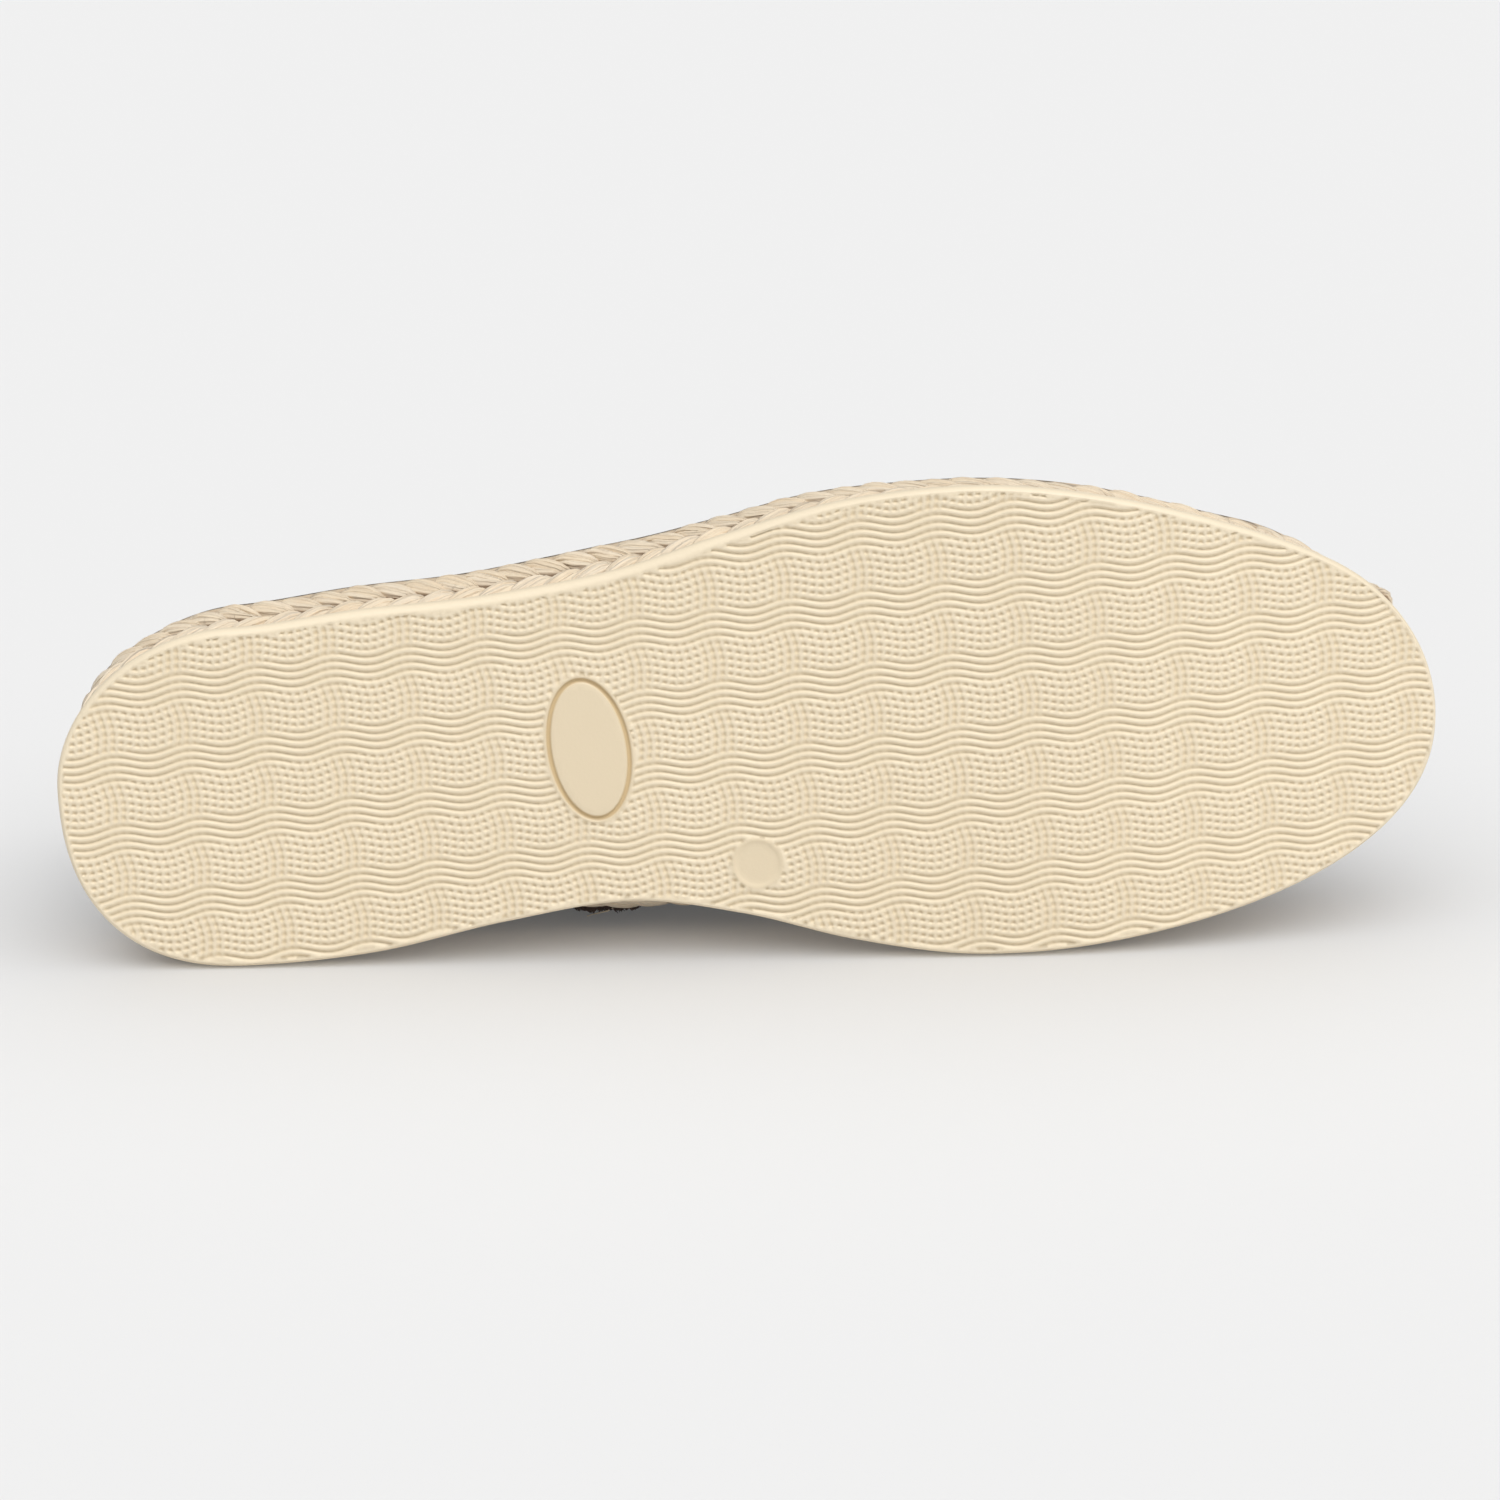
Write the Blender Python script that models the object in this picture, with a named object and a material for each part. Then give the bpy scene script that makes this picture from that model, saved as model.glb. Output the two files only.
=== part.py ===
"""Right espadrille of size 42: rubber outsole, plaited jute midsole, insole and a cloth slip-on upper.

Every piece is modelled standing, in the shoe's own frame and in millimetres: X runs from heel to toe,
Y to the inner side of the foot and Z up from the tread. An empty then lays the finished shoe on its inner
side, where it rests on the edge of its outsole at heel and ball and on the side of its upper.
"""

import math
from collections import namedtuple

import bmesh
import bpy
from mathutils import Matrix, Vector

MM = 0.001
GAP = 0.35  # clearance between pieces that lie on each other

# Length: a size counts Paris points, two thirds of a centimetre each, and the sole reaches past the last.
SIZE = 42
PARIS_POINT = 20.0 / 3.0
SOLE_MARGIN = 6.0
SOLE_LENGTH = SIZE * PARIS_POINT + SOLE_MARGIN

# Outline of the sole: widths given by rows, rounded off at the heel and from the ball to the toe.
HEEL_ROUND = 38.0
WAIST_STATION = 117.0
BALL_STATION = 188.0
HEEL_POWER = {"inner": 2.4, "outer": 1.94}
TOE_POWER = {"inner": 2.25, "outer": 1.95}

Width = namedtuple("Width", "station inner outer")
WIDTHS = (
    Width(HEEL_ROUND, 38.7, 32.0),
    Width(64.0, 37.2, 34.3),
    Width(90.0, 32.4, 35.8),
    Width(WAIST_STATION, 29.4, 39.6),
    Width(140.0, 33.3, 45.8),
    Width(163.0, 40.1, 51.2),
    Width(BALL_STATION, 44.5, 53.1),
    Width(236.0, 44.5, 51.4),
    Width(250.0, 44.5, 51.7),
    Width(262.0, 44.5, 53.2),
    Width(274.0, 44.5, 56.0),
    Width(SOLE_LENGTH, 44.5, 58.0),
)

# Toe spring: the sole is flat up to the ball, bends up over a short stretch and runs straight to the toe.
SPRING_START = 196.0
SPRING_END = 240.0
SPRING_SLOPE = math.tan(math.radians(10.5))

OUTSOLE_THICK = 4.0
JUTE_THICK = 16.0
INSOLE_THICK = 2.2
UPPER_WALL = 1.6

# Edge of the rubber sheet, from the tread up: how far each level stands in from the outline.
Level = namedtuple("Level", "height inset")
OUTSOLE_LEVELS = (
    Level(0.0, 1.5),
    Level(0.5, 0.55),
    Level(1.3, 0.1),
    Level(3.4, 0.0),
    Level(OUTSOLE_THICK, 0.25),
)

# Plain moulded marks in the tread: an oval plate inside a groove, and a sunk round.
OVAL_PLACE = (110.0, -3.1)
OVAL_SIZE = (17.3, 30.2)
OVAL_GROOVE = 1.1
OVAL_TURN = math.radians(-6.5)
ROUND_PLACE = (143.3, 22.7)
ROUND_SIZE = (9.8, 9.8)
MARK_DEPTH = 0.5
MARK_SIDES = 40
CUTTER_THICK = 2.0

# Side of the jute: two rows of plait, one over the other. They lean in at the toe and on the inner side of
# heel and ball, and out over the rubber at the waist and along the outer side. Each strand runs slanted up
# one row, forwards in the lower and backwards in the upper, and stands out from its neighbours.
PLAIT_ROWS = 2
ROW_STEPS = 4
STRAND_PITCH = 6.5
STRAND_SLANT = 4.5
STRAND_RELIEF = 0.6
ROW_BULGE = 1.1
JUTE_INSET = 2.0
Lean = namedtuple("Lean", "station inner outer")
JUTE_LEAN = (
    Lean(0.0, 1.4, 1.4),
    Lean(4.0, 1.6, -0.7),
    Lean(20.0, 2.5, -2.4),
    Lean(40.0, 3.2, -3.9),
    Lean(80.0, 0.4, -4.3),
    Lean(105.0, -4.0, -5.1),
    Lean(117.0, -5.2, -4.9),
    Lean(131.0, -4.1, -3.6),
    Lean(145.0, -1.7, -2.4),
    Lean(170.0, 1.6, -1.5),
    Lean(190.0, 3.0, -1.0),
    Lean(215.0, 3.2, -1.1),
    Lean(240.0, 3.6, -0.9),
    Lean(252.0, 3.7, -1.4),
    Lean(262.0, 3.8, -0.4),
    Lean(272.0, 3.9, 1.8),
    Lean(SOLE_LENGTH, 4.0, 4.0),
)

# Last: ribs rise from a foot line on the jute, a little in from the plait, and meet on a ridge. The ridge
# ends short of the toe and of the heel, so that the end ribs lean over to it. The ribs swell on the inner
# side, where the cloth lies on the floor, and lean in on the outer.
UPPER_INSET = 0.9
FOOT_HEM = 1.4  # upright edge of the cloth where it stands on the jute
RIDGE_FROM_TOE = 32.0
RIDGE_FROM_HEEL = 46.0
TOE_BEND_START = 206.0
HEEL_BEND_END = 100.0
Crown = namedtuple("Crown", "station height inner outer")
CROWNS = (
    Crown(RIDGE_FROM_HEEL, 110.0, -2.5, -2.5),
    Crown(85.0, 98.0, 6.9, -11.0),
    Crown(125.0, 85.5, 4.8, -9.5),
    Crown(166.0, 74.0, 6.3, -7.5),
    Crown(195.0, 67.0, 6.0, -6.0),
    Crown(225.0, 60.0, 5.0, -4.5),
    Crown(SOLE_LENGTH - RIDGE_FROM_TOE, 53.5, -2.0, -2.0),
)
RIB_UPRIGHT = 0.6  # share of its height that a rib's lower handle stands straight up
RIB_OVER = 0.58  # share of its reach that a rib's upper handle lies level

# Collar: the share of each rib that is kept. The opening ends in a round throat, with whole ribs before it.
THROAT = 166.0
THROAT_ROUND = 54.0
Collar = namedtuple("Collar", "station share")
COLLARS = (
    Collar(0.0, 0.44),
    Collar(40.0, 0.4),
    Collar(80.0, 0.365),
    Collar(THROAT - THROAT_ROUND, 0.37),
)

# Fineness of the faceted solids.
HEEL_STEPS = 10
WAIST_STEPS = 8
THROAT_STEPS = 8
BALL_STEPS = 5
TOE_STEPS = 13
END_CROWDING = 1.2
RIB_STEPS = 12
FINE_STEPS = 720
SHARP_ANGLE = math.radians(40.0)
TOUCH_ROUNDS = 4


def smooth(rows, column, station):
    """Value of one column of a table at a station: a cubic through the rows, level at both ends."""
    xs = [row.station for row in rows]
    ys = [getattr(row, column) for row in rows]
    if station <= xs[0]:
        return ys[0]
    if station >= xs[-1]:
        return ys[-1]
    slopes = [0.0]
    for i in range(1, len(xs) - 1):
        slopes.append((ys[i + 1] - ys[i - 1]) / (xs[i + 1] - xs[i - 1]))
    slopes.append(0.0)
    i = max(k for k in range(len(xs) - 1) if xs[k] <= station)
    span = xs[i + 1] - xs[i]
    t = (station - xs[i]) / span
    ease = t * t * (3.0 - 2.0 * t)
    start = t * (1.0 - t) ** 2
    end = t * t * (t - 1.0)
    return ys[i] + (ys[i + 1] - ys[i]) * ease + span * (slopes[i] * start + slopes[i + 1] * end)


def lift(station):
    """Height of the tread over the floor: the toe spring."""
    bend = min(max(station - SPRING_START, 0.0), SPRING_END - SPRING_START)
    straight = max(station - SPRING_END, 0.0)
    return SPRING_SLOPE * (bend * bend / (2.0 * (SPRING_END - SPRING_START)) + straight)


def half_width(station, side):
    """Distance of the sole's outline from the heel-to-toe line: the rows' width, rounded off at both ends."""
    share, power = 0.0, 1.0
    if station < HEEL_ROUND:
        share, power = (HEEL_ROUND - station) / HEEL_ROUND, HEEL_POWER[side]
    elif station > BALL_STATION:
        share, power = (station - BALL_STATION) / (SOLE_LENGTH - BALL_STATION), TOE_POWER[side]
    return smooth(WIDTHS, side, station) * max(0.0, 1.0 - share**power) ** (1.0 / power)


def stations():
    """Places along the shoe, closer together where the outline or the throat turns."""
    quarter = math.pi / 2.0
    turns = [quarter * (i / HEEL_STEPS) ** END_CROWDING for i in range(HEEL_STEPS)]
    heel = [HEEL_ROUND * (1.0 - math.cos(turn)) for turn in turns]
    round_start = THROAT - THROAT_ROUND
    waist = [HEEL_ROUND + (round_start - HEEL_ROUND) * i / WAIST_STEPS for i in range(WAIST_STEPS)]
    turns = [quarter * i / THROAT_STEPS for i in range(THROAT_STEPS)]
    throat = [round_start + THROAT_ROUND * math.sin(turn) for turn in turns]
    ball = [THROAT + (TOE_BEND_START - THROAT) * i / BALL_STEPS for i in range(BALL_STEPS)]
    turns = [quarter * (1.0 - (1.0 - i / TOE_STEPS) ** END_CROWDING) for i in range(TOE_STEPS + 1)]
    toe = [TOE_BEND_START + (SOLE_LENGTH - TOE_BEND_START) * math.sin(turn) for turn in turns]
    return heel + waist + throat + ball + toe


def outline(places):
    """Plan of the sole as a loop: from the heel along the outer side to the toe, back along the inner."""
    outer = [Vector((station, -half_width(station, "outer"))) for station in places]
    inner = [Vector((station, half_width(station, "inner"))) for station in places]
    return outer + inner[-2:0:-1]


def evenly_spaced(count):
    """The same loop with its points at equal steps along the edge."""
    half = FINE_STEPS // 2
    loop = outline([SOLE_LENGTH * (1.0 - math.cos(math.pi * i / half)) / 2.0 for i in range(half + 1)])
    loop.append(loop[0])
    lengths = [0.0]
    for before, after in zip(loop, loop[1:]):
        lengths.append(lengths[-1] + (after - before).length)
    points = []
    piece = 0
    for index in range(count):
        wanted = lengths[-1] * index / count
        while lengths[piece + 1] < wanted:
            piece += 1
        share = (wanted - lengths[piece]) / (lengths[piece + 1] - lengths[piece])
        points.append(loop[piece].lerp(loop[piece + 1], share))
    return points


def outward(loop):
    """Direction out of the shoe, in plan, at each point of a loop."""
    directions = []
    for index in range(len(loop)):
        along = loop[(index + 1) % len(loop)] - loop[index - 1]
        directions.append(Vector((along.y, -along.x)).normalized())
    return directions


STATIONS = stations()
RIM = outline(STATIONS)
RIM_OUT = outward(RIM)
TOE_INDEX = len(STATIONS) - 1


def side_of(point):
    return "outer" if point.y < 0.0 else "inner"


def moved_in(point, direction, inset, height):
    """A point of the outline, moved in and up from the tread."""
    place = point - direction * inset
    return Vector((place.x, place.y, lift(place.x) + height))


def foot_inset(point):
    """How far the foot line of the upper stands in from the outline."""
    return JUTE_INSET + smooth(JUTE_LEAN, side_of(point), point.x) + UPPER_INSET


def ridge_station(station):
    """Where on the ridge the rib of a station ends."""
    toe_share = max(0.0, station - TOE_BEND_START) / (SOLE_LENGTH - TOE_BEND_START)
    heel_share = max(0.0, HEEL_BEND_END - station) / HEEL_BEND_END
    return station - RIDGE_FROM_TOE * toe_share**2 + RIDGE_FROM_HEEL * heel_share**2


def kept_share(station):
    """Share of a rib below the collar."""
    side = smooth(COLLARS, "share", station)
    turn = min(1.0, max(0.0, (station - THROAT + THROAT_ROUND) / THROAT_ROUND))
    return side + (1.0 - side) * (1.0 - math.sqrt(1.0 - turn * turn))


def rib(index):
    """Points of one rib of the upper, from the jute up to the collar edge or the ridge."""
    edge, out = RIM[index], RIM_OUT[index]
    station = edge.x
    hem = moved_in(edge, out, foot_inset(edge), OUTSOLE_THICK + JUTE_THICK + GAP)
    foot = hem + Vector((0.0, 0.0, FOOT_HEM))
    ridge = ridge_station(station)
    middle = (half_width(ridge, "inner") - half_width(ridge, "outer")) / 2.0
    top = Vector((ridge, middle, smooth(CROWNS, "height", ridge)))
    swell = out.to_3d() * smooth(CROWNS, side_of(edge), ridge)
    low = foot + Vector((0.0, 0.0, (top.z - foot.z) * RIB_UPRIGHT)) + swell
    high = top + (foot - top).to_2d().to_3d() * RIB_OVER
    points = [hem]
    for step in range(RIB_STEPS + 1):
        t = kept_share(station) * step / RIB_STEPS
        rest = 1.0 - t
        points.append(foot * rest**3 + low * 3.0 * t * rest**2 + high * 3.0 * t**2 * rest + top * t**3)
    return points


def material(name, colour, roughness):
    made = bpy.data.materials.new(name)
    made.use_nodes = True
    shader = made.node_tree.nodes["Principled BSDF"]
    shader.inputs["Base Color"].default_value = (*colour, 1.0)
    shader.inputs["Roughness"].default_value = roughness
    shader.inputs["Metallic"].default_value = 0.0
    return made


def add_object(name, mesh_source, parent, look):
    """Turns a bmesh in millimetres into a named object under the lying frame."""
    bmesh.ops.scale(mesh_source, vec=(MM, MM, MM), verts=mesh_source.verts)
    bmesh.ops.recalc_face_normals(mesh_source, faces=mesh_source.faces)
    mesh = bpy.data.meshes.new(name)
    mesh_source.to_mesh(mesh)
    mesh_source.free()
    mesh.set_sharp_from_angle(angle=SHARP_ANGLE)
    made = bpy.data.objects.new(name, mesh)
    bpy.context.scene.collection.objects.link(made)
    made.parent = parent
    if look is not None:
        mesh.materials.append(look)
    return made


def close_across(work, ring):
    """Faces from side to side over a ring that follows the outline, so that a bent sole stays clean."""
    for index in range(len(ring) // 2):
        corners = [ring[index], ring[index + 1], ring[-index - 1], ring[-index]]
        work.faces.new(list(dict.fromkeys(corners)))


def stacked_sheet(rings):
    """A closed sheet of the sole from a list of rings, lowest first."""
    work = bmesh.new()
    loops = [[work.verts.new(point) for point in ring] for ring in rings]
    for lower, upper in zip(loops, loops[1:]):
        for index in range(len(lower)):
            side = work.faces.new((lower[index - 1], lower[index], upper[index], upper[index - 1]))
            side.smooth = True
    close_across(work, loops[0])
    close_across(work, loops[-1])
    return work


def oval_edge(work, place, size):
    """A closed oval of edges at the depth of the marks, turned a little in the tread."""
    made = bmesh.ops.create_circle(work, segments=MARK_SIDES, radius=0.5)["verts"]
    bmesh.ops.scale(work, vec=(size[0], size[1], 1.0), verts=made)
    bmesh.ops.rotate(work, matrix=Matrix.Rotation(OVAL_TURN, 3, "Z"), verts=made)
    bmesh.ops.translate(work, vec=(place[0], place[1], MARK_DEPTH), verts=made)
    return list({edge for corner in made for edge in corner.link_edges})


def mark_cutter(name, place, size, groove, parent):
    """A low block that sinks a mark into the tread: a ring where the mark is a groove, else a full oval."""
    work = bmesh.new()
    edges = oval_edge(work, place, size)
    if groove:
        edges += oval_edge(work, place, (size[0] - 2.0 * groove, size[1] - 2.0 * groove))
        faces = bmesh.ops.bridge_loops(work, edges=edges)["faces"]
    else:
        faces = bmesh.ops.contextual_create(work, geom=edges)["faces"]
    sides = bmesh.ops.extrude_face_region(work, geom=faces, use_keep_orig=True)["geom"]
    corners = [item for item in sides if isinstance(item, bmesh.types.BMVert)]
    bmesh.ops.translate(work, vec=(0.0, 0.0, -CUTTER_THICK), verts=corners)
    cutter = add_object(name, work, parent, None)
    cutter.hide_render = True
    cutter.display_type = "WIRE"
    return cutter


def build_outsole(parent):
    rings = []
    for level in OUTSOLE_LEVELS:
        rings.append([moved_in(point, out, level.inset, level.height) for point, out in zip(RIM, RIM_OUT)])
    look = material("rubber", (0.86, 0.74, 0.52), 0.6)
    outsole = add_object("outsole", stacked_sheet(rings), parent, look)
    marks = (
        ("oval_groove", OVAL_PLACE, OVAL_SIZE, OVAL_GROOVE),
        ("round_mark", ROUND_PLACE, ROUND_SIZE, 0.0),
    )
    for name, place, size, groove in marks:
        cut = outsole.modifiers.new(name, "BOOLEAN")
        cut.operation = "DIFFERENCE"
        cut.object = mark_cutter(name + "_cutter", place, size, groove, parent)
    outsole.modifiers.new("flat_shading", "WEIGHTED_NORMAL")
    return outsole


def jute_ring(level, strands):
    """One level of the jute's side: crests and valleys of the strands by turns, moved on by the slant."""
    share = level / (PLAIT_ROWS * ROW_STEPS)
    in_row = share * PLAIT_ROWS % 1.0
    height = OUTSOLE_THICK + GAP + (JUTE_THICK - GAP) * share
    swing = 1.0 - abs(2.0 * share - 1.0)
    slide = STRAND_SLANT * swing
    bulge = math.sin(math.pi * in_row)
    loop = evenly_spaced(2 * strands)
    ring = []
    for index, (point, out) in enumerate(zip(loop, outward(loop))):
        forwards = Vector((out.y, -out.x)) if out.y > 0.0 else Vector((-out.y, out.x))
        relief = STRAND_RELIEF if index % 2 else -STRAND_RELIEF
        lean = smooth(JUTE_LEAN, side_of(point), point.x)
        inset = JUTE_INSET + lean * share - bulge * (ROW_BULGE + relief)
        ring.append(moved_in(point + forwards * slide * abs(out.y), out, inset, height))
    return ring


def build_jute(parent):
    edge = sum((after - before).length for before, after in zip(RIM, RIM[1:] + RIM[:1]))
    strands = 2 * round(edge / STRAND_PITCH / 2.0)
    rings = [jute_ring(level, strands) for level in range(PLAIT_ROWS * ROW_STEPS + 1)]
    look = material("jute", (0.68, 0.5, 0.3), 0.95)
    return add_object("jute_midsole", stacked_sheet(rings), parent, look)


def build_insole(parent):
    base = OUTSOLE_THICK + JUTE_THICK + GAP
    rings = []
    for height in (base, base + INSOLE_THICK):
        ring = []
        for point, out in zip(RIM, RIM_OUT):
            ring.append(moved_in(point, out, foot_inset(point) + UPPER_WALL + 2.0 * GAP, height))
        rings.append(ring)
    return add_object("insole", stacked_sheet(rings), parent, material("sock", (0.62, 0.5, 0.36), 0.9))


def build_upper(parent):
    """One cloth wall: ribs round the foot line, joined on the ridge ahead of the throat, open behind it."""
    work = bmesh.new()
    throat_index = STATIONS.index(THROAT)
    ribs = []
    for index in range(len(RIM)):
        points = rib(index)
        corners = [work.verts.new(point) for point in points[:-1]]
        mirror = len(RIM) - index
        joined = mirror < index and mirror >= throat_index
        corners.append(ribs[mirror][-1] if joined else work.verts.new(points[-1]))
        ribs.append(corners)
    for index in range(len(RIM)):
        before, here = ribs[index - 1], ribs[index]
        for step in range(RIB_STEPS + 1):
            patch = work.faces.new((before[step], here[step], here[step + 1], before[step + 1]))
            patch.smooth = True
    upper = add_object("upper", work, parent, material("canvas", (0.035, 0.03, 0.028), 0.9))
    wall = upper.modifiers.new("wall", "SOLIDIFY")
    wall.thickness = UPPER_WALL * MM
    wall.offset = -1.0
    wall.use_even_offset = True
    wall.use_quality_normals = True
    return upper


def touching_pair():
    """Heel and ball points of the outsole's inner edge that one straight floor line touches."""
    inner = RIM[TOE_INDEX + 1 :]
    heel_side = [point for point in inner if point.x < WAIST_STATION]
    ball_side = [point for point in inner if point.x > WAIST_STATION]
    heel = max(heel_side, key=lambda point: point.y)
    ball = max(ball_side, key=lambda point: point.y)
    for _ in range(TOUCH_ROUNDS):
        ball = max(ball_side, key=lambda point: (point.y - heel.y) / (point.x - heel.x))
        heel = max(heel_side, key=lambda point: (point.y - ball.y) / (ball.x - point.x))
    return heel, ball


def lying_rotation(pieces):
    """Turn that brings the inner edge of the sole down onto the floor and then the upper down behind it."""
    heel, ball = touching_pair()
    edge_height = next(level.height for level in OUTSOLE_LEVELS if level.inset == 0.0)
    start = Vector((heel.x, heel.y, edge_height)) * MM
    along = Vector((ball.x - heel.x, ball.y - heel.y, 0.0)).normalized()
    up_side = Vector((along.y, -along.x, 0.0))
    standing_up = Vector((0.0, 0.0, 1.0))
    tilts = []
    for piece in pieces:
        for vertex in piece.data.vertices:
            offset = vertex.co - start
            if offset.z > 0.0:
                tilts.append(math.atan2(offset.dot(up_side), offset.z))
    tilt = min(tilts)
    floor_up = up_side * math.cos(tilt) - standing_up * math.sin(tilt)
    depth = floor_up.cross(along)
    return Matrix((along, depth, floor_up))


def lay_down(frame, pieces):
    """Turns the frame and sets the middle of the shoe's box over the origin, with the floor at zero."""
    turn = lying_rotation(pieces)
    places = [turn @ vertex.co for piece in pieces for vertex in piece.data.vertices]
    low = Vector([min(place[axis] for place in places) for axis in range(3)])
    high = Vector([max(place[axis] for place in places) for axis in range(3)])
    shift = Vector((-(low.x + high.x) / 2.0, -(low.y + high.y) / 2.0, -low.z))
    frame.matrix_world = Matrix.Translation(shift) @ turn.to_4x4()


def main():
    for old in list(bpy.data.objects):
        bpy.data.objects.remove(old, do_unlink=True)
    frame = bpy.data.objects.new("lying_frame", None)
    bpy.context.scene.collection.objects.link(frame)
    pieces = [build_outsole(frame), build_jute(frame), build_insole(frame), build_upper(frame)]
    lay_down(frame, pieces)


if __name__ == "__main__":
    main()
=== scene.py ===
"""Looks of a right espadrille that lies on its inner side: rubber tread, plaited jute, insole and upper.

Shapes are worked out standing, in the shoe's own frame and in millimetres, as the solids are: X from heel
to toe, Y to the inner side of the foot, Z up from the tread. lay() turns them into the lying shoe, in metres.
"""

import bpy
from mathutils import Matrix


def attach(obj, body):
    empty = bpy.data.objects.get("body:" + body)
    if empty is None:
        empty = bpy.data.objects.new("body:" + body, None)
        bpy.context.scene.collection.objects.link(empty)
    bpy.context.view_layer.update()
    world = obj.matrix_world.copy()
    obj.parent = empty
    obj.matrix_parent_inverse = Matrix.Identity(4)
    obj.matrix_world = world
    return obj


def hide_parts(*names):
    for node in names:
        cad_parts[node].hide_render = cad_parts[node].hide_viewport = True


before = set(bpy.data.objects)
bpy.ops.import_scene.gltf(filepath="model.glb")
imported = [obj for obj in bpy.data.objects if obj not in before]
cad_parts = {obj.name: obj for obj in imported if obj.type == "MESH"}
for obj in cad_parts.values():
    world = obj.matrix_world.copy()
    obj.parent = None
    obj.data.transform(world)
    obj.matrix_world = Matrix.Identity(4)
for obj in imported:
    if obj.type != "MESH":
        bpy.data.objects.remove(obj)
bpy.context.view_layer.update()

import math
from collections import namedtuple

import bpy
import numpy as np
from bpy.props import FloatProperty, FloatVectorProperty, IntProperty, PointerProperty
from mathutils import Matrix, Vector
from mathutils.geometry import delaunay_2d_cdt

bl_info = {
    "name": "Espadrille",
    "version": (1, 0, 0),
    "blender": (4, 5, 0),
    "location": "3D View > Sidebar > Espadrille",
    "description": "Builds the looks of a lying espadrille around its solids",
    "category": "Object",
}

MM = 0.001
SEED = 42

# How the shoe lies: its sole's line turned in the picture plane, then leaned back, then moved onto the floor.
LYING_TURN = math.radians(2.225721)
LYING_TILT = math.radians(9.0406953)
LYING_SHIFT = np.array((-0.1428921, -0.0376149, 0.0372672))
FLOOR_CLEAR = 0.00002
FLOOR_SIZE = 12.0
SENSOR_WIDTH = 36.0

# Outline, toe spring and heights of the solids.
SOLE_LENGTH = 286.0
HEEL_ROUND = 38.0
BALL_STATION = 188.0
HEEL_POWER = {"inner": 2.4, "outer": 1.94}
TOE_POWER = {"inner": 2.25, "outer": 1.95}
Width = namedtuple("Width", "station inner outer")
WIDTHS = (
    Width(HEEL_ROUND, 38.7, 32.0),
    Width(64.0, 37.2, 34.3),
    Width(90.0, 32.4, 35.8),
    Width(117.0, 29.4, 39.6),
    Width(140.0, 33.3, 45.8),
    Width(163.0, 40.1, 51.2),
    Width(BALL_STATION, 44.5, 53.1),
    Width(236.0, 44.5, 51.4),
    Width(250.0, 44.5, 51.7),
    Width(262.0, 44.5, 53.2),
    Width(274.0, 44.5, 56.0),
    Width(SOLE_LENGTH, 44.5, 58.0),
)
SPRING_START = 196.0
SPRING_END = 240.0
SPRING_SLOPE = math.tan(math.radians(10.5))
GAP = 0.35
OUTSOLE_THICK = 4.0
JUTE_THICK = 16.0
JUTE_TOP = OUTSOLE_THICK + JUTE_THICK
INSOLE_THICK = 2.2
JUTE_INSET = 2.0
Lean = namedtuple("Lean", "station inner outer")
JUTE_LEAN = (
    Lean(0.0, 1.4, 1.4),
    Lean(4.0, 1.6, -0.7),
    Lean(20.0, 2.5, -2.4),
    Lean(40.0, 3.2, -3.9),
    Lean(80.0, 0.4, -4.3),
    Lean(105.0, -4.0, -5.1),
    Lean(117.0, -5.2, -4.9),
    Lean(131.0, -4.1, -3.6),
    Lean(145.0, -1.7, -2.4),
    Lean(170.0, 1.6, -1.5),
    Lean(190.0, 3.0, -1.0),
    Lean(215.0, 3.2, -1.1),
    Lean(240.0, 3.6, -0.9),
    Lean(252.0, 3.7, -1.4),
    Lean(262.0, 3.8, -0.4),
    Lean(272.0, 3.9, 1.8),
    Lean(SOLE_LENGTH, 4.0, 4.0),
)

# Edge of the rubber sheet. The plain rim round its tread is widest along the outer side of the waist.
Rim = namedtuple("Rim", "station inner outer")
RIMS = (
    Rim(0.0, 1.0, 1.0),
    Rim(40.0, 0.9, 1.4),
    Rim(80.0, 0.8, 1.7),
    Rim(140.0, 0.8, 1.7),
    Rim(175.0, 0.8, 1.0),
    Rim(250.0, 0.8, 1.0),
    Rim(266.0, 0.7, 0.8),
    Rim(SOLE_LENGTH, 0.6, 0.6),
)
Level = namedtuple("Level", "height inset")
RIM_INSET = 1.5
EDGE_LEVELS = (
    Level(0.14, 1.02),
    Level(0.5, 0.55),
    Level(0.9, 0.27),
    Level(1.3, 0.1),
    Level(2.2, 0.02),
    Level(3.4, 0.0),
    Level(3.8, 0.06),
    Level(OUTSOLE_THICK, 0.25),
    Level(OUTSOLE_THICK, 1.6),
)
RIM_POINTS = 640

# Tread: two families of wavy ribs. The lengthwise ribs run all over. The crosswise ones are high in bands
# along the sole, lower where the lengthwise waves rise to their crests, and faint elsewhere. The lengthwise
# ribs sink a little there.
Ribs = namedtuple("Ribs", "pitch slope wave wave_length wave_slope wave_start samples heights")
LENGTHWISE = Ribs(1.601, 0.034, 0.71, 15.8, 0.06, 0.2044, (0.0, 0.25, 0.5, 0.75), (1.0, 0.6, 0.0, 0.6))
CROSSWISE = Ribs(1.71, -0.0734, 0.57, 15.0, -0.065, 0.0, (0.0, 0.36, 0.64), (1.0, 0.0, 0.0))
BAND_RANGE = (-0.6, 0.2)
CREST_TURN = math.radians(250.0)
CREST_RANGE = (0.2, 1.0)
CREST_SHARE = 0.26
CREST_DROP = 0.45
FAINT_SHARE = 0.1
CREST_SINK = (0.3, 0.7)
ROWS = (-55, 56)
COLUMNS = (-12, 185)
SETTLE_ROUNDS = 24
TREAD_CLEAR = 0.3

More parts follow.
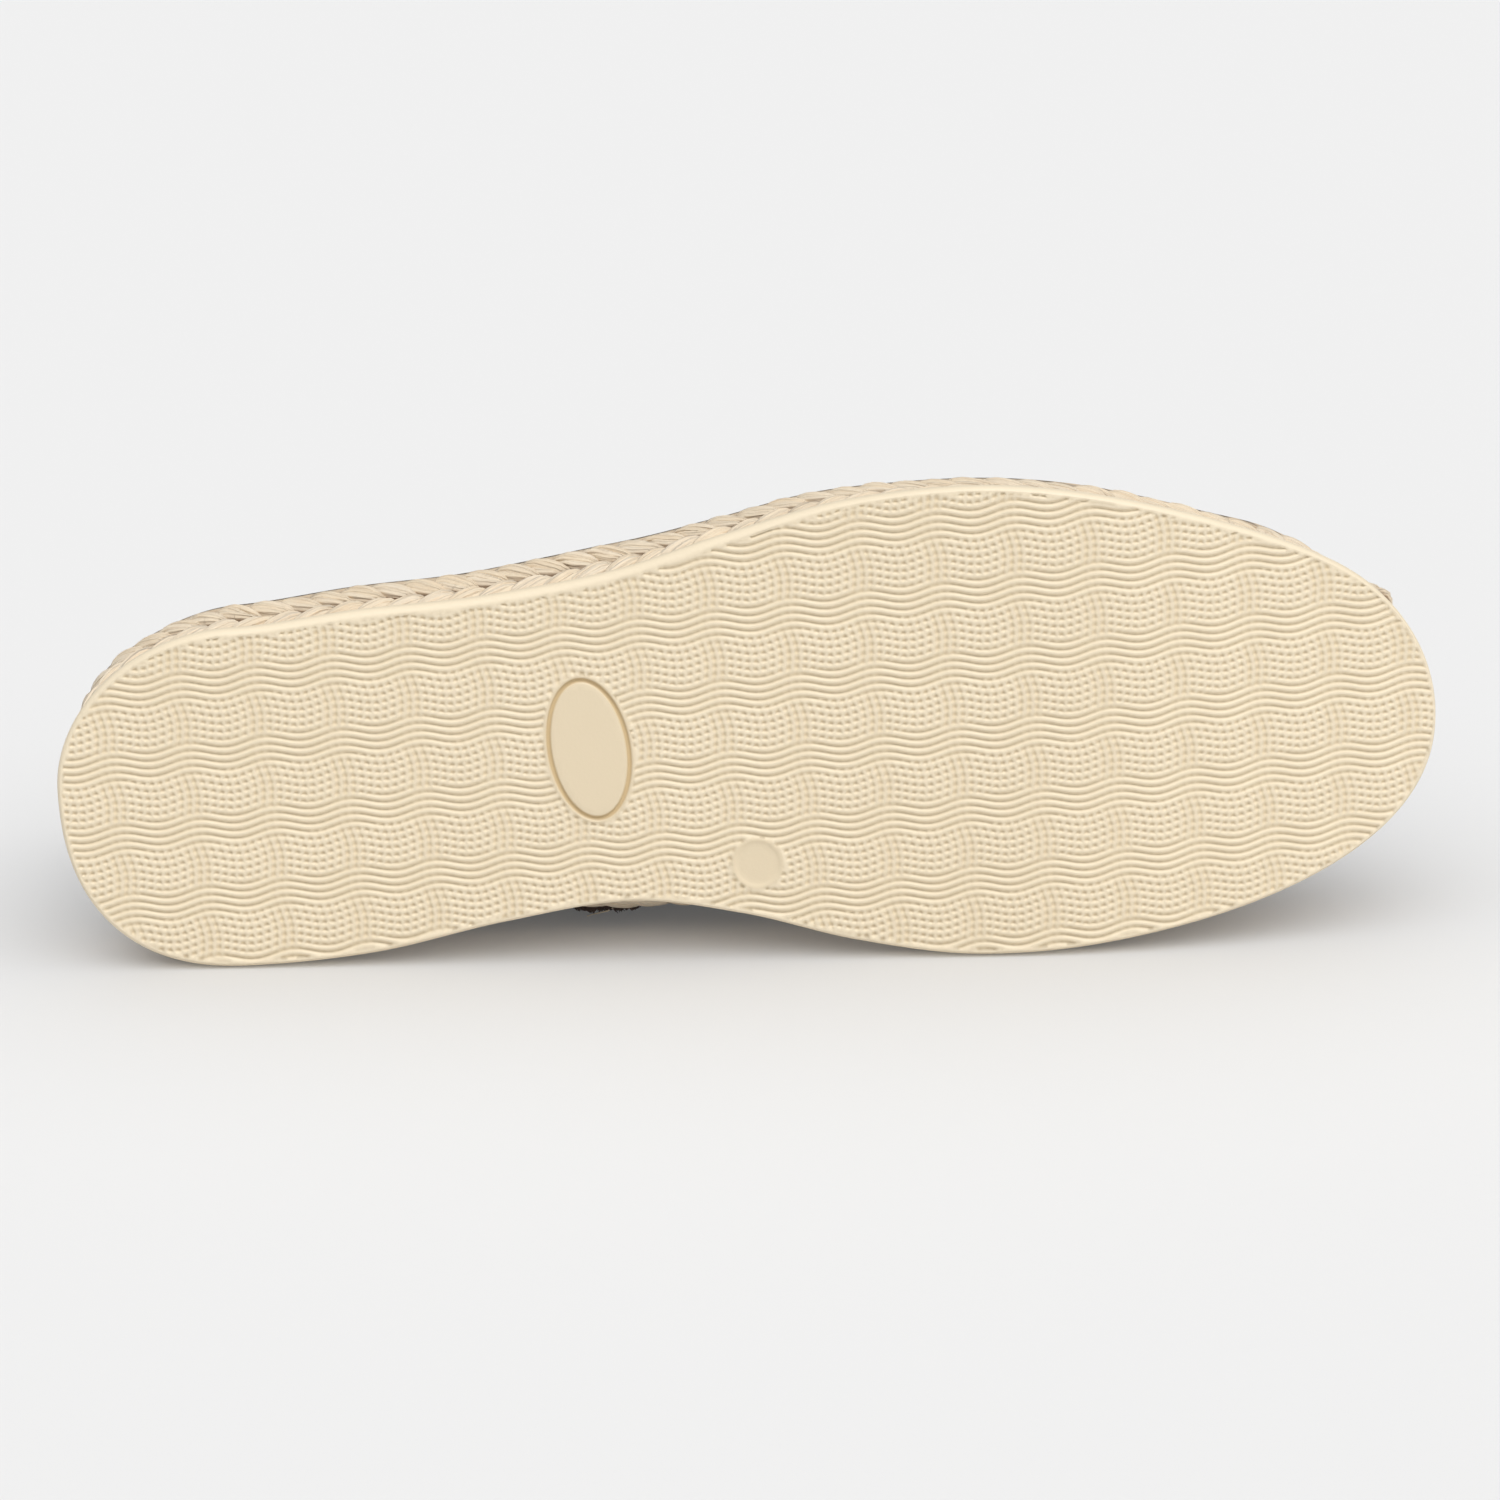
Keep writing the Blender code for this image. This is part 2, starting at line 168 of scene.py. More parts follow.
# Plain moulded marks in the tread.
OVAL_PLACE = (110.0, -3.1)
OVAL_SIZE = (17.3, 30.2)
OVAL_GROOVE = 1.1
OVAL_TURN = math.radians(-6.5)
ROUND_PLACE = (143.3, 22.7)
ROUND_SIZE = (9.8, 9.8)
MARK_SLOPE = 0.22
MARK_MARGIN = 0.35
MARK_POINTS = 110
ROUND_DEPTH = 0.3
ROUND_BOTTOM = -4.0 * MARK_SLOPE
OVAL_DEPTH = 0.5
OVAL_PLATE = -OVAL_GROOVE - MARK_SLOPE
OVAL_PLATE_SINK = -0.02
# groove: share of painted shade in the groove round the oval plate, for each ring.
Ring = namedtuple("Ring", "grow sink groove")
OVAL_RINGS = (
    Ring(MARK_MARGIN, 0.0, 0.0),
    Ring(0.0, 0.0, 0.15),
    Ring(-MARK_SLOPE, OVAL_DEPTH, 1.0),
    Ring(MARK_SLOPE - OVAL_GROOVE, OVAL_DEPTH, 1.0),
    Ring(-OVAL_GROOVE, 0.05, 0.15),
    Ring(OVAL_PLATE, OVAL_PLATE_SINK, 0.0),
)
ROUND_RINGS = (
    Ring(MARK_MARGIN, 0.0, 0.0),
    Ring(-0.05, 0.08 * ROUND_DEPTH, 0.0),
    Ring(-2.0 * MARK_SLOPE, 0.6 * ROUND_DEPTH, 0.0),
    Ring(ROUND_BOTTOM, ROUND_DEPTH, 0.0),
)
# Painted shade of the plain parts of the rubber, between valley and crest, and painted highlight on its
# rounded rim.
PLAIN_SHADE = 0.45
RIM_HIGHLIGHT = 0.95
PLATE_STEP = 1.1
PLATE_STEPS = 16
PLATE_CLEAR = 0.5

# Plait: two rows of strands round the side of the jute.
PLAIT_ROWS = 2
STRAND_SLANT = (math.radians(25.0), math.radians(-25.0))
STRAND_HALF = (6.4, 1.0, 1.1)
STRAND_YARNS = (-1.25, 0.0, 1.25)
STRAND_FULLNESS = 0.42
STRAND_TUCK = 2.3
STRAND_SHINGLE = 0.16
STRAND_STAND = 1.15
STRAND_SIDES = 8
STRAND_RINGS = 10
STRAND_SWAY = 0.5
STRAND_TOP_TUCK = 0.6
YARN_CLOSE = 0.5
YARN_SINK = 0.12
Uneven = namedtuple("Uneven", "place slant size depth")
STRAND_UNEVEN = Uneven(0.3, 0.06, 0.06, 0.12)
STRAND_UV_SPREAD = 90.0
PLAIT_LOW = 1.0
ROW_SQUEEZE = 0.98
ROW_PRESS = 1.15
# Depths into the plait over which strands take on painted shade.
PIT_RANGE = (1.0, 2.6)
TOP_EDGE = (0.84, 0.97)
CORE_INSET = 0.9
CORE_FILL = 1.6
# The core is painted dark as shade behind the strands; CORE_PALE lightens it towards its top edge.
CORE_PALE = 0.85
CORE_SHARES = (0.02, 0.985)
CORE_LEVELS = 13
CORE_POINTS = 420
Bulge = namedtuple("Bulge", "station side reach stand")
BULGES = (
    Bulge(9.0, "outer", 12.0, 1.0),
    Bulge(153.0, "outer", 16.0, 0.6),
    Bulge(208.0, "outer", 30.0, -0.25),
    Bulge(249.0, "outer", 12.0, -0.4),
    Bulge(276.5, "outer", 4.4, 3.1),
    Bulge(115.0, "inner", 22.0, 1.0),
)

# Stray fibres of the jute, some in a tuft on the inner side of the heel.
HAIR_SHARES = (0.1, 0.95)
HAIR_RUNS = (1.5, 4.5)
HAIR_LEANS = (-1.1, 1.1)
HAIR_RISE = 0.5
HAIR_CURL = 0.9
HAIR_STEPS = 6
HAIR_CLEAR = (0.8, 0.2)
HAIR_TAPER = 0.6
TUFT_STATION = 54.0
TUFT_SPREAD = 2.2
TUFT_PART = 6

# Last and cut of the upper.
UPPER_INSET = 1.6
FOOT_HEM = 1.4
FOOT_HEIGHT = JUTE_TOP + GAP
RIDGE_FROM_TOE = 32.0
RIDGE_FROM_HEEL = 46.0
TOE_BEND_START = 206.0
HEEL_BEND_END = 100.0
Crown = namedtuple("Crown", "station height inner outer")
CROWNS = (
    Crown(RIDGE_FROM_HEEL, 110.0, -2.5, -2.5),
    Crown(85.0, 98.0, 6.9, -11.0),
    Crown(125.0, 85.5, 4.8, -9.5),
    Crown(166.0, 74.0, 6.3, -7.5),
    Crown(195.0, 67.0, 6.0, -6.0),
    Crown(225.0, 60.0, 5.0, -4.5),
    Crown(SOLE_LENGTH - RIDGE_FROM_TOE, 53.5, -2.0, -2.0),
)
RIB_UPRIGHT = 0.6
RIB_OVER = 0.58
THROAT = 166.0
THROAT_ROUND = 54.0
Collar = namedtuple("Collar", "station share")
COLLARS = (
    Collar(0.0, 0.44),
    Collar(40.0, 0.4),
    Collar(80.0, 0.365),
    Collar(THROAT - THROAT_ROUND, 0.37),
)
UPPER_WALL = 1.6
SOCK_COLUMNS = 31
SOCK_ROUND = 2.2
SOCK_EDGE = 0.45
RIB_STEPS = 40
RIB_SAMPLES = 240
COLLAR_SAMPLES = 60
UV_ROW = 6
HEEL_COLUMNS = 28
WAIST_COLUMNS = 30
THROAT_COLUMNS = 28
BALL_COLUMNS = 18
TOE_COLUMNS = 42
END_CROWD = 1.2
MERGE_NEAR = 0.02

# Soft troughs and ridges of the cloth: place along the shoe, slant back with height, width and depth.
Crease = namedtuple("Crease", "station slant width depth side")
CREASES = (
    Crease(184.0, 0.25, 4.5, -1.1, "outer"),
    Crease(193.0, 0.2, 4.0, 0.7, "outer"),
    Crease(201.0, 0.25, 5.0, -0.9, "outer"),
    Crease(187.0, -0.2, 5.0, -0.8, "inner"),
    Crease(199.0, -0.1, 4.5, 0.5, "inner"),
    Crease(124.0, 0.9, 7.0, -0.9, "outer"),
    Crease(74.0, -0.7, 8.0, -0.8, "outer"),
    Crease(60.0, -0.6, 7.0, 0.5, "outer"),
    Crease(116.0, 0.7, 8.0, -0.7, "inner"),
)
CREASE_LEVEL = 45.0
DRAPE_STAND = 0.25
DRAPE_START = 2.0
DRAPE_FULL = 12.0
DRAPE_TOP = 1.35
HEM_DEEP = 8.0
HEM_STAND = 0.4
HEM_STEP = 0.7
SEAM_STATION = 112.0
SEAM_LEVEL = 40.0
SEAM_SLANT = 0.32
SEAM_STAND = 0.45
SEAM_STEP = 0.8
NO_EDGE = 100.0

# Blanket stitch: its leg over the jute's top edge and up the cloth, and the run between two legs.
Hold = namedtuple("Hold", "height stand")
LEG_ON_JUTE = (Hold(JUTE_TOP - 0.9, -0.5), Hold(JUTE_TOP + 0.3, -0.4))
LEG_ON_CLOTH = (Hold(0.6, 0.5), Hold(2.4, 0.5), Hold(4.2, 0.35))
RUN_POINTS = 5
RUN_SAG = 0.5
RUN_THIN = 0.85
TWINE_PLY = 1.6
TWINE_SIDES = 7

# Thread stitches of hem and side seams.
STITCH_POINTS = 5
STITCH_LONG = 0.36
STITCH_STAND = 0.34
STITCH_DIP = 0.5
STITCH_RADIUS = 0.3
HEM_STITCH_IN = 1.6
SEAM_STITCH_AHEAD = 2.2
SEAM_UPRIGHT = 0.93
SEAM_START = 3.0

# Frayed edge of the canvas at the inner waist, with its loose threads.
Fray = namedtuple("Fray", "station inset")
FRAYS = (
    Fray(102.6, -3.6),
    Fray(104.0, -4.7),
    Fray(107.0, -5.3),
    Fray(110.6, -5.8),
    Fray(115.7, -6.1),
    Fray(117.6, -5.8),
    Fray(119.0, -4.4),
)
FRAY_COLUMNS = 44
FRAY_ROWS = 9
FRAY_RAGGED = 0.84
FRAY_TUCK = 0.3
FRAY_LEVEL = JUTE_TOP + 0.45
FRAY_THICK = 0.5
FRAY_LONG = 3.5
FRAY_THREADS = 70
FRAY_RUNS = (0.3, 1.0)
FRAY_TURN = 0.7
FRAY_CURL = 0.8
FRAY_STEPS = 6
FRAY_RADIUS = 0.11
LOOSE_THREAD = (
    Fray(112.0, -5.0),
    Fray(110.7, -5.5),
    Fray(109.0, -5.7),
    Fray(107.6, -5.75),
    Fray(106.0, -6.0),
)
LOOSE_LEVEL = JUTE_TOP + 0.05
LOOSE_RADIUS = 0.18
RAW_PLY = 0.7


def smooth(rows, column, station):
    """Values of one column of a table at stations: a cubic through the rows, level at both ends."""
    xs = np.array([row.station for row in rows])
    ys = np.array([getattr(row, column) for row in rows])
    slopes = np.zeros(len(xs))
    slopes[1:-1] = (ys[2:] - ys[:-2]) / (xs[2:] - xs[:-2])
    inside = np.clip(station, xs[0], xs[-1])
    i = np.clip(np.searchsorted(xs, inside, side="right") - 1, 0, len(xs) - 2)
    span = xs[i + 1] - xs[i]
    t = (inside - xs[i]) / span
    ease = t * t * (3.0 - 2.0 * t)
    bend = slopes[i] * t * (1.0 - t) ** 2 + slopes[i + 1] * t * t * (t - 1.0)
    return ys[i] + (ys[i + 1] - ys[i]) * ease + span * bend


def lift(station):
    """Toe spring: height of the tread over the floor that the shoe would stand on."""
    bend = np.clip(station - SPRING_START, 0.0, SPRING_END - SPRING_START)
    straight = np.maximum(station - SPRING_END, 0.0)
    return SPRING_SLOPE * (bend * bend / (2.0 * (SPRING_END - SPRING_START)) + straight)


def half_width(station, side):
    """Distance of the sole's outline from the heel-to-toe line."""
    heel = np.clip((HEEL_ROUND - station) / HEEL_ROUND, 0.0, 1.0) ** HEEL_POWER[side]
    toe = np.clip((station - BALL_STATION) / (SOLE_LENGTH - BALL_STATION), 0.0, 1.0) ** TOE_POWER[side]
    ends = (1.0 - heel) ** (1.0 / HEEL_POWER[side]) * (1.0 - toe) ** (1.0 / TOE_POWER[side])
    return smooth(WIDTHS, side, station) * ends


def unit(vectors):
    return vectors / np.maximum(np.linalg.norm(vectors, axis=-1, keepdims=True), 1e-12)


def runs_along(points):
    """Distances along rows of points, each from its first point."""
    steps = np.linalg.norm(np.diff(points, axis=-2), axis=-1)
    return np.concatenate([np.zeros((*steps.shape[:-1], 1)), steps.cumsum(-1)], -1)


Loop = namedtuple("Loop", "points outs arcs length")


def edge_loop(count):
    """The sole's outline as evenly spaced points: heel, outer side, toe, inner side; with directions out."""
    station = SOLE_LENGTH * (1.0 - np.cos(np.linspace(0.0, math.pi, 1441))) / 2.0
    outer = np.stack([station, -half_width(station, "outer")], 1)
    inner = np.stack([station, half_width(station, "inner")], 1)
    closed = np.concatenate([outer, inner[-2::-1]])
    arcs = runs_along(closed)
    wanted = arcs[-1] * np.arange(count) / count
    points = np.stack([np.interp(wanted, arcs, closed[:, k]) for k in (0, 1)], 1)
    along = np.roll(points, -1, 0) - np.roll(points, 1, 0)
    return Loop(points, unit(np.stack([along[:, 1], -along[:, 0]], 1)), wanted, arcs[-1])


EDGE = edge_loop(2880)


def at_arc(arc):
    """Points of the outline and directions out, at distances along it from the heel."""
    found = []
    for table in (EDGE.points, EDGE.outs):
        columns = [np.interp(arc, EDGE.arcs, table[:, k], period=EDGE.length) for k in (0, 1)]
        found.append(np.stack(columns, -1))
    return found[0], unit(found[1])


def arc_of(station, side):
    """Distance along the outline of a station on one side."""
    toe = int(np.argmax(EDGE.points[:, 0]))
    if side == "outer":
        return np.interp(station, EDGE.points[: toe + 1, 0], EDGE.arcs[: toe + 1])
    stations = np.append(EDGE.points[toe:, 0], 0.0)[::-1]
    arcs = np.append(EDGE.arcs[toe:], EDGE.length)[::-1]
    return np.interp(station, stations, arcs)


def by_side(rows, points):
    """Values of a two-sided table at points of the outline."""
    outer = smooth(rows, "outer", points[..., 0])
    return np.where(points[..., 1] < 0.0, outer, smooth(rows, "inner", points[..., 0]))


def moved_in(points, outs, inset, height):
    """Points of the outline moved in, and up from the tread."""
    place = points - outs * np.asarray(inset, float)[..., None]
    return np.concatenate([place, (lift(place[..., 0]) + height)[..., None]], -1)


def lay(points):
    """Points of the standing shoe in millimetres, as points of the lying shoe in metres."""
    along = np.array((math.cos(LYING_TURN), math.sin(LYING_TURN), 0.0))
    side_up = np.array((along[1], -along[0], 0.0))
    floor_up = side_up * math.cos(LYING_TILT) - np.array((0.0, 0.0, math.sin(LYING_TILT)))
    turn = np.array((along, np.cross(floor_up, along), floor_up))
    return np.asarray(points, float) * MM @ turn.T + LYING_SHIFT


def add_piece(name, points, faces, looks, uv=None, values=None):
    """A mesh object of the lying shoe, with its looks, its UV map and its values for each corner."""
    mesh = bpy.data.meshes.new(name)
    laid = lay(points)
    laid[:, 2] = np.maximum(laid[:, 2], FLOOR_CLEAR)
    mesh.from_pydata(laid.tolist(), [], [list(face) for face in faces])
    for look in looks:
        mesh.materials.append(look)
    mesh.polygons.foreach_set("use_smooth", np.ones(len(mesh.polygons), bool))
    if uv is not None:
        corner = np.zeros(len(mesh.loops), np.int32)
        mesh.loops.foreach_get("vertex_index", corner)
        flat = np.asarray(uv, np.float32)
        per_loop = flat if len(flat) == len(corner) != len(points) else flat[corner]
        mesh.uv_layers.new(name="UVMap").data.foreach_set("uv", per_loop.ravel())
    for key, numbers in (values or {}).items():
        mesh.attributes.new(key, "FLOAT", "POINT").data.foreach_set("value", np.asarray(numbers, np.float32))
    mesh.update()
    piece = bpy.data.objects.new(name, mesh)
    bpy.context.scene.collection.objects.link(piece)
    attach(piece, "root")
    return piece


def make_active(piece):
    """Leaves one object selected and active, in object mode."""
    bpy.ops.object.select_all(action="DESELECT")
    piece.select_set(True)
    bpy.context.view_layer.objects.active = piece


def face_outwards(piece):
    make_active(piece)
    bpy.ops.object.mode_set(mode="EDIT")
    bpy.ops.mesh.select_all(action="SELECT")
    bpy.ops.mesh.normals_make_consistent(inside=False)
    bpy.ops.object.mode_set(mode="OBJECT")


def ring_faces(lower, upper):
    """Quads between two rings of corner numbers."""
    after_lower, after_upper = np.roll(lower, -1), np.roll(upper, -1)
    return np.stack([lower, after_lower, after_upper, upper], 1).tolist()


def filled(points, loops):
    """Triangles over flat points inside closed loops of corner numbers; points keep their order."""
    edges = []
    for loop in loops:
        edges += list(zip(loop, np.roll(loop, -1).tolist()))
    made = delaunay_2d_cdt([Vector(point) for point in points.tolist()], edges, [], 1, 1e-6)
    source = [origin[0] for origin in made[3]]
    return [[source[corner] for corner in face] for face in made[2]]


def lid(ring, first):
    """Triangles over a closed ring of points, whose corner numbers start at a first one."""
    return [[first + corner for corner in face] for face in filled(ring[:, :2], [range(len(ring))])]


def tubes(paths, radius, sides, taper=0.0):
    """Closed round tubes along many paths of as many points each: corners, faces, and lengthwise UV."""
    paths = np.asarray(paths, float)
    many, steps, _ = paths.shape
    along = unit(np.gradient(paths, axis=1))
    whole = unit(paths[:, -1] - paths[:, 0])
    helper = np.eye(3)[np.argmin(np.abs(whole), axis=1)][:, None]
    first = unit(np.cross(along, helper))
    second = np.cross(along, first)
    turn = 2.0 * math.pi * np.arange(sides) / sides
    share = np.linspace(0.0, 1.0, steps)
    size = np.broadcast_to(np.asarray(radius, float), (many,))[:, None] * (1.0 - taper * share)[None]
    circle = first[:, :, None] * np.cos(turn)[:, None] + second[:, :, None] * np.sin(turn)[:, None]
    corners = paths[:, :, None] + circle * size[:, :, None, None]
    index = np.arange(many * steps * sides).reshape(many, steps, sides)
    here, ahead = index[:, :-1], index[:, 1:]
    quads = np.stack([here, np.roll(here, -1, 2), np.roll(ahead, -1, 2), ahead], -1).reshape(-1, 4).tolist()
    caps = index[:, 0, ::-1].tolist() + index[:, -1].tolist()
    uv = np.stack(np.broadcast_arrays(runs_along(paths)[:, :, None], np.arange(sides) / sides), -1)
    return corners.reshape(-1, 3), quads + caps, uv.reshape(-1, 2)


def node(tree, kind, inputs=None, **settings):
    """A shader node with its settings, its plain inputs and its links."""
    made = tree.nodes.new(kind)
    for key, value in settings.items():
        setattr(made, key, value)
    for key, value in (inputs or {}).items():
        if isinstance(value, bpy.types.NodeSocket):
            tree.links.new(value, made.inputs[key])
        else:
            made.inputs[key].default_value = value
    return made


def calc(tree, operation, first, second=0.0):
    return node(tree, "ShaderNodeMath", {0: first, 1: second}, operation=operation).outputs[0]


def blend(tree, share, first, second):
    """A colour between two colours."""
    inputs = {0: share}
    for key, value in ((6, first), (7, second)):
        inputs[key] = value if isinstance(value, bpy.types.NodeSocket) else (*value, 1.0)
    return node(tree, "ShaderNodeMix", inputs, data_type="RGBA").outputs[2]


def ramp(tree, value, low, high):
    """A value spread from a range to 0 to 1."""
    spread = node(tree, "ShaderNodeMapRange", {"Value": value, "From Min": low, "From Max": high})
    return spread.outputs[0]


def noise(tree, vector, scale, detail=2.0, rough=0.5):
    inputs = {"Vector": vector, "Scale": scale, "Detail": detail, "Roughness": rough}
    return node(tree, "ShaderNodeTexNoise", inputs).outputs[0]


def stretched(tree, vector, scale):
    return node(tree, "ShaderNodeMapping", {"Vector": vector, "Scale": scale}).outputs[0]


def value_of(tree, name):
    return node(tree, "ShaderNodeAttribute", attribute_name=name).outputs["Fac"]


def object_place(tree):
    return node(tree, "ShaderNodeTexCoord").outputs["Object"]


def uv_place(tree):
    return node(tree, "ShaderNodeTexCoord").outputs["UV"]


def new_look(name, roughness, sheen=0.0):
    look = bpy.data.materials.new(name)
    look.use_nodes = True
    shader = look.node_tree.nodes["Principled BSDF"]
    shader.inputs["Roughness"].default_value = roughness
    shader.inputs["Sheen Weight"].default_value = sheen
    return look, look.node_tree, shader


def raise_bumps(tree, shader, height, distance, strength=1.0):
    inputs = {"Height": height, "Distance": distance, "Strength": strength}
    bump = node(tree, "ShaderNodeBump", inputs)
    tree.links.new(bump.outputs[0], shader.inputs["Normal"])


def rubber_look(colours):
    """Cream rubber: painted shade in the tread's valleys and in the groove round the oval, painted highlight
    on the crests and the rim; clouded and faintly grained.
    """
    look, tree, shader = new_look("cream_rubber", 0.5)
    place = object_place(tree)
    cloud = noise(tree, place, 26.0, 4.0)
    grain = noise(tree, place, 1500.0, 3.0, 0.6)
    # Painted shade and highlight: valleys darker, crests and rim lighter.
    relief_shade = ramp(tree, value_of(tree, "relief_shade"), 0.05, 0.85)
    tread = blend(tree, relief_shade, colours.rubber_valley_shade, colours.rubber)
    aged = blend(tree, ramp(tree, cloud, 0.35, 0.75), tread, colours.rubber_aged)
    tinted = blend(tree, 0.3, tread, aged)
    # Painted shade in the groove round the oval plate.
    groove_shaded = blend(tree, value_of(tree, "groove_shade"), tinted, colours.rubber_groove_shade)
    tree.links.new(groove_shaded, shader.inputs["Base Color"])
    rough = node(tree, "ShaderNodeMapRange", {"Value": grain, "To Min": 0.42, "To Max": 0.62})
    tree.links.new(rough.outputs[0], shader.inputs["Roughness"])
    raise_bumps(tree, shader, grain, 0.00005, 0.5)
    return look


def jute_look(colours):
    """Jute yarn: fibres along each strand, each strand with its own tint; painted shade where a strand sinks
    into the plait, and on the core.
    """
    look, tree, shader = new_look("jute_yarn", 0.92, 0.15)
    along = uv_place(tree)
    fibre = noise(tree, stretched(tree, along, (0.16, 2.4, 1.0)), 1.0, 4.0, 0.65)
    patch = noise(tree, object_place(tree), 320.0, 3.0)
    tint = value_of(tree, "tint")
    share = calc(tree, "ADD", calc(tree, "MULTIPLY", fibre, 0.75), calc(tree, "MULTIPLY", patch, 0.35))
    streaked = blend(tree, ramp(tree, share, 0.32, 0.72), colours.jute_dark, colours.jute)
    toned = blend(tree, calc(tree, "MULTIPLY", tint, 0.4), streaked, colours.jute_pale)
    # Painted shade in the gaps between the strands and on the core.
    shaded = blend(tree, ramp(tree, value_of(tree, "depth"), 0.0, 1.0), toned, colours.jute_pit_shade)
    tree.links.new(shaded, shader.inputs["Base Color"])
    yarn = node(tree, "ShaderNodeTexWave", {"Vector": stretched(tree, along, (0.12, 0.33, 1.0)), "Scale": 1.0,
                "Distortion": 2.2, "Detail": 2.0, "Detail Scale": 1.6}, bands_direction="Y")
    height = calc(tree, "ADD", calc(tree, "MULTIPLY", yarn.outputs[1], 0.55), fibre)
    raise_bumps(tree, shader, height, 0.00045, 0.9)
    return look


def cloth_look(name, colour, fleck, thread, sheen):
    """Plain weave: raised threads both ways on the cloth's own UV map, in millimetres."""
    look, tree, shader = new_look(name, 0.9, sheen)
    split = node(tree, "ShaderNodeSeparateXYZ", {0: uv_place(tree)}).outputs
    turns = 2.0 * math.pi / thread
    waves = [calc(tree, "SINE", calc(tree, "MULTIPLY", split[k], turns)) for k in (0, 1)]
    weave = calc(tree, "MULTIPLY", waves[0], waves[1])
    slub = noise(tree, stretched(tree, uv_place(tree), (0.25, 2.0, 1.0)), 0.9, 3.0)
    slub_across = noise(tree, stretched(tree, uv_place(tree), (2.0, 0.25, 1.0)), 0.9, 3.0)
    uneven = calc(tree, "ADD", slub, slub_across)
    worn = noise(tree, object_place(tree), 40.0, 4.0)
    share = calc(tree, "ADD", calc(tree, "MULTIPLY", weave, 0.16), calc(tree, "MULTIPLY", uneven, 0.5))
    mixed = calc(tree, "ADD", share, calc(tree, "MULTIPLY", calc(tree, "SUBTRACT", worn, 0.5), 0.35))
    tree.links.new(blend(tree, ramp(tree, mixed, 0.3, 0.75), colour, fleck), shader.inputs["Base Color"])
    height = calc(tree, "ADD", calc(tree, "MULTIPLY", weave, 0.5), calc(tree, "MULTIPLY", uneven, 0.6))
    raise_bumps(tree, shader, height, 0.00022, 0.8)
    return look


def thread_look(name, colour, dark, ply):
    """Twisted sewing thread: slanted plies along each stitch, with painted shade in the grooves between them.
    """
    look, tree, shader = new_look(name, 0.8, 0.1)
    split = node(tree, "ShaderNodeSeparateXYZ", {0: uv_place(tree)}).outputs
    slant = calc(tree, "ADD", calc(tree, "MULTIPLY", split[0], 2.0 * math.pi / ply),
                 calc(tree, "MULTIPLY", split[1], 6.0 * math.pi))
    plies = calc(tree, "SINE", slant)
    # Painted shade in the grooves between the plies.
    tree.links.new(blend(tree, ramp(tree, plies, -1.0, 0.4), dark, colour), shader.inputs["Base Color"])
    raise_bumps(tree, shader, plies, 0.00015, 0.7)
    return look


def colour(name, description, value):
    return FloatVectorProperty(name=name, description=description, default=value, subtype="COLOR",
                               size=3, min=0.0, max=1.0)


def length(name, description, millimetres):
    return FloatProperty(name=name, description=description, default=millimetres * MM, unit="LENGTH",
                         precision=5)


class EspadrilleColours(bpy.types.PropertyGroup):
    """Colours of the pieces, in linear light."""

    # Tread colours: crests painted lighter as lit, valleys painted darker as shade.
    rubber: colour("Rubber", "Crests of the tread", (0.955, 0.825, 0.615))
    rubber_valley_shade: colour("Rubber valley", "Valleys between the ribs", (0.77, 0.63, 0.42))
    rubber_aged: colour("Rubber aged", "Warmer clouds in the rubber", (0.86, 0.725, 0.515))
    # Painted shade in the groove round the oval plate.
    rubber_groove_shade: colour("Rubber groove", "Groove round the oval plate", (0.70, 0.53, 0.30))
    jute: colour("Jute", "Fibres of the strands", (0.99, 0.845, 0.63))
    jute_pale: colour("Jute pale", "Palest strands", (0.995, 0.895, 0.74))
    jute_dark: colour("Jute dark", "Shaded fibres", (0.86, 0.67, 0.46))
    # Painted shade in the gaps between the strands and on the core.
    jute_pit_shade: colour("Jute pit", "Gaps between the strands", (0.29, 0.15, 0.06))
    canvas: colour("Canvas", "Cloth of the upper", (0.016, 0.0135, 0.012))
    canvas_fleck: colour("Canvas fleck", "Raised threads of the upper", (0.052, 0.045, 0.040))
    raw_thread: colour("Raw thread", "Frayed threads of the upper", (0.06, 0.036, 0.026))
    lining: colour("Lining", "Inside of the upper", (0.50, 0.41, 0.29))
    lining_fleck: colour("Lining fleck", "Raised threads of the lining", (0.66, 0.57, 0.43))
    sock: colour("Sock", "Cloth of the insole", (0.46, 0.34, 0.20))
    sock_fleck: colour("Sock fleck", "Raised threads of the insole", (0.66, 0.53, 0.36))
    twine: colour("Twine", "Stitches that hold the upper to the jute", (0.62, 0.47, 0.28))
    # Painted shade in the grooves between the twine's plies.
    twine_groove_shade: colour("Twine dark", "Grooves of the twine", (0.30, 0.19, 0.09))
    floor: colour("Floor", "Pale studio floor", (0.7, 0.7, 0.7))


class EspadrilleSizes(bpy.types.PropertyGroup):
    """Sizes of the details."""

    tread_depth: length("Tread depth", "Depth of the valleys between the ribs", 0.6)
    weave_thread: length("Canvas thread", "Spacing of the threads of the upper", 0.75)
    sock_thread: length("Sock thread", "Spacing of the threads of the insole", 1.1)
    strand_pitch: length("Strand pitch", "Spacing of the strands along the plait", 6.5)
    stitch_pitch: length("Stitch pitch", "Spacing of the stitches along the jute", 7.5)
    twine_radius: length("Twine radius", "Half thickness of the twine", 0.55)
    seam_stitch: length("Seam stitch", "Spacing of the stitches of hem and seams", 3.2)
    hair_radius: length("Hair radius", "Half thickness of a stray fibre", 0.045)
    hairs: IntProperty(name="Hairs", description="Number of stray fibres on the jute", default=120, min=0)


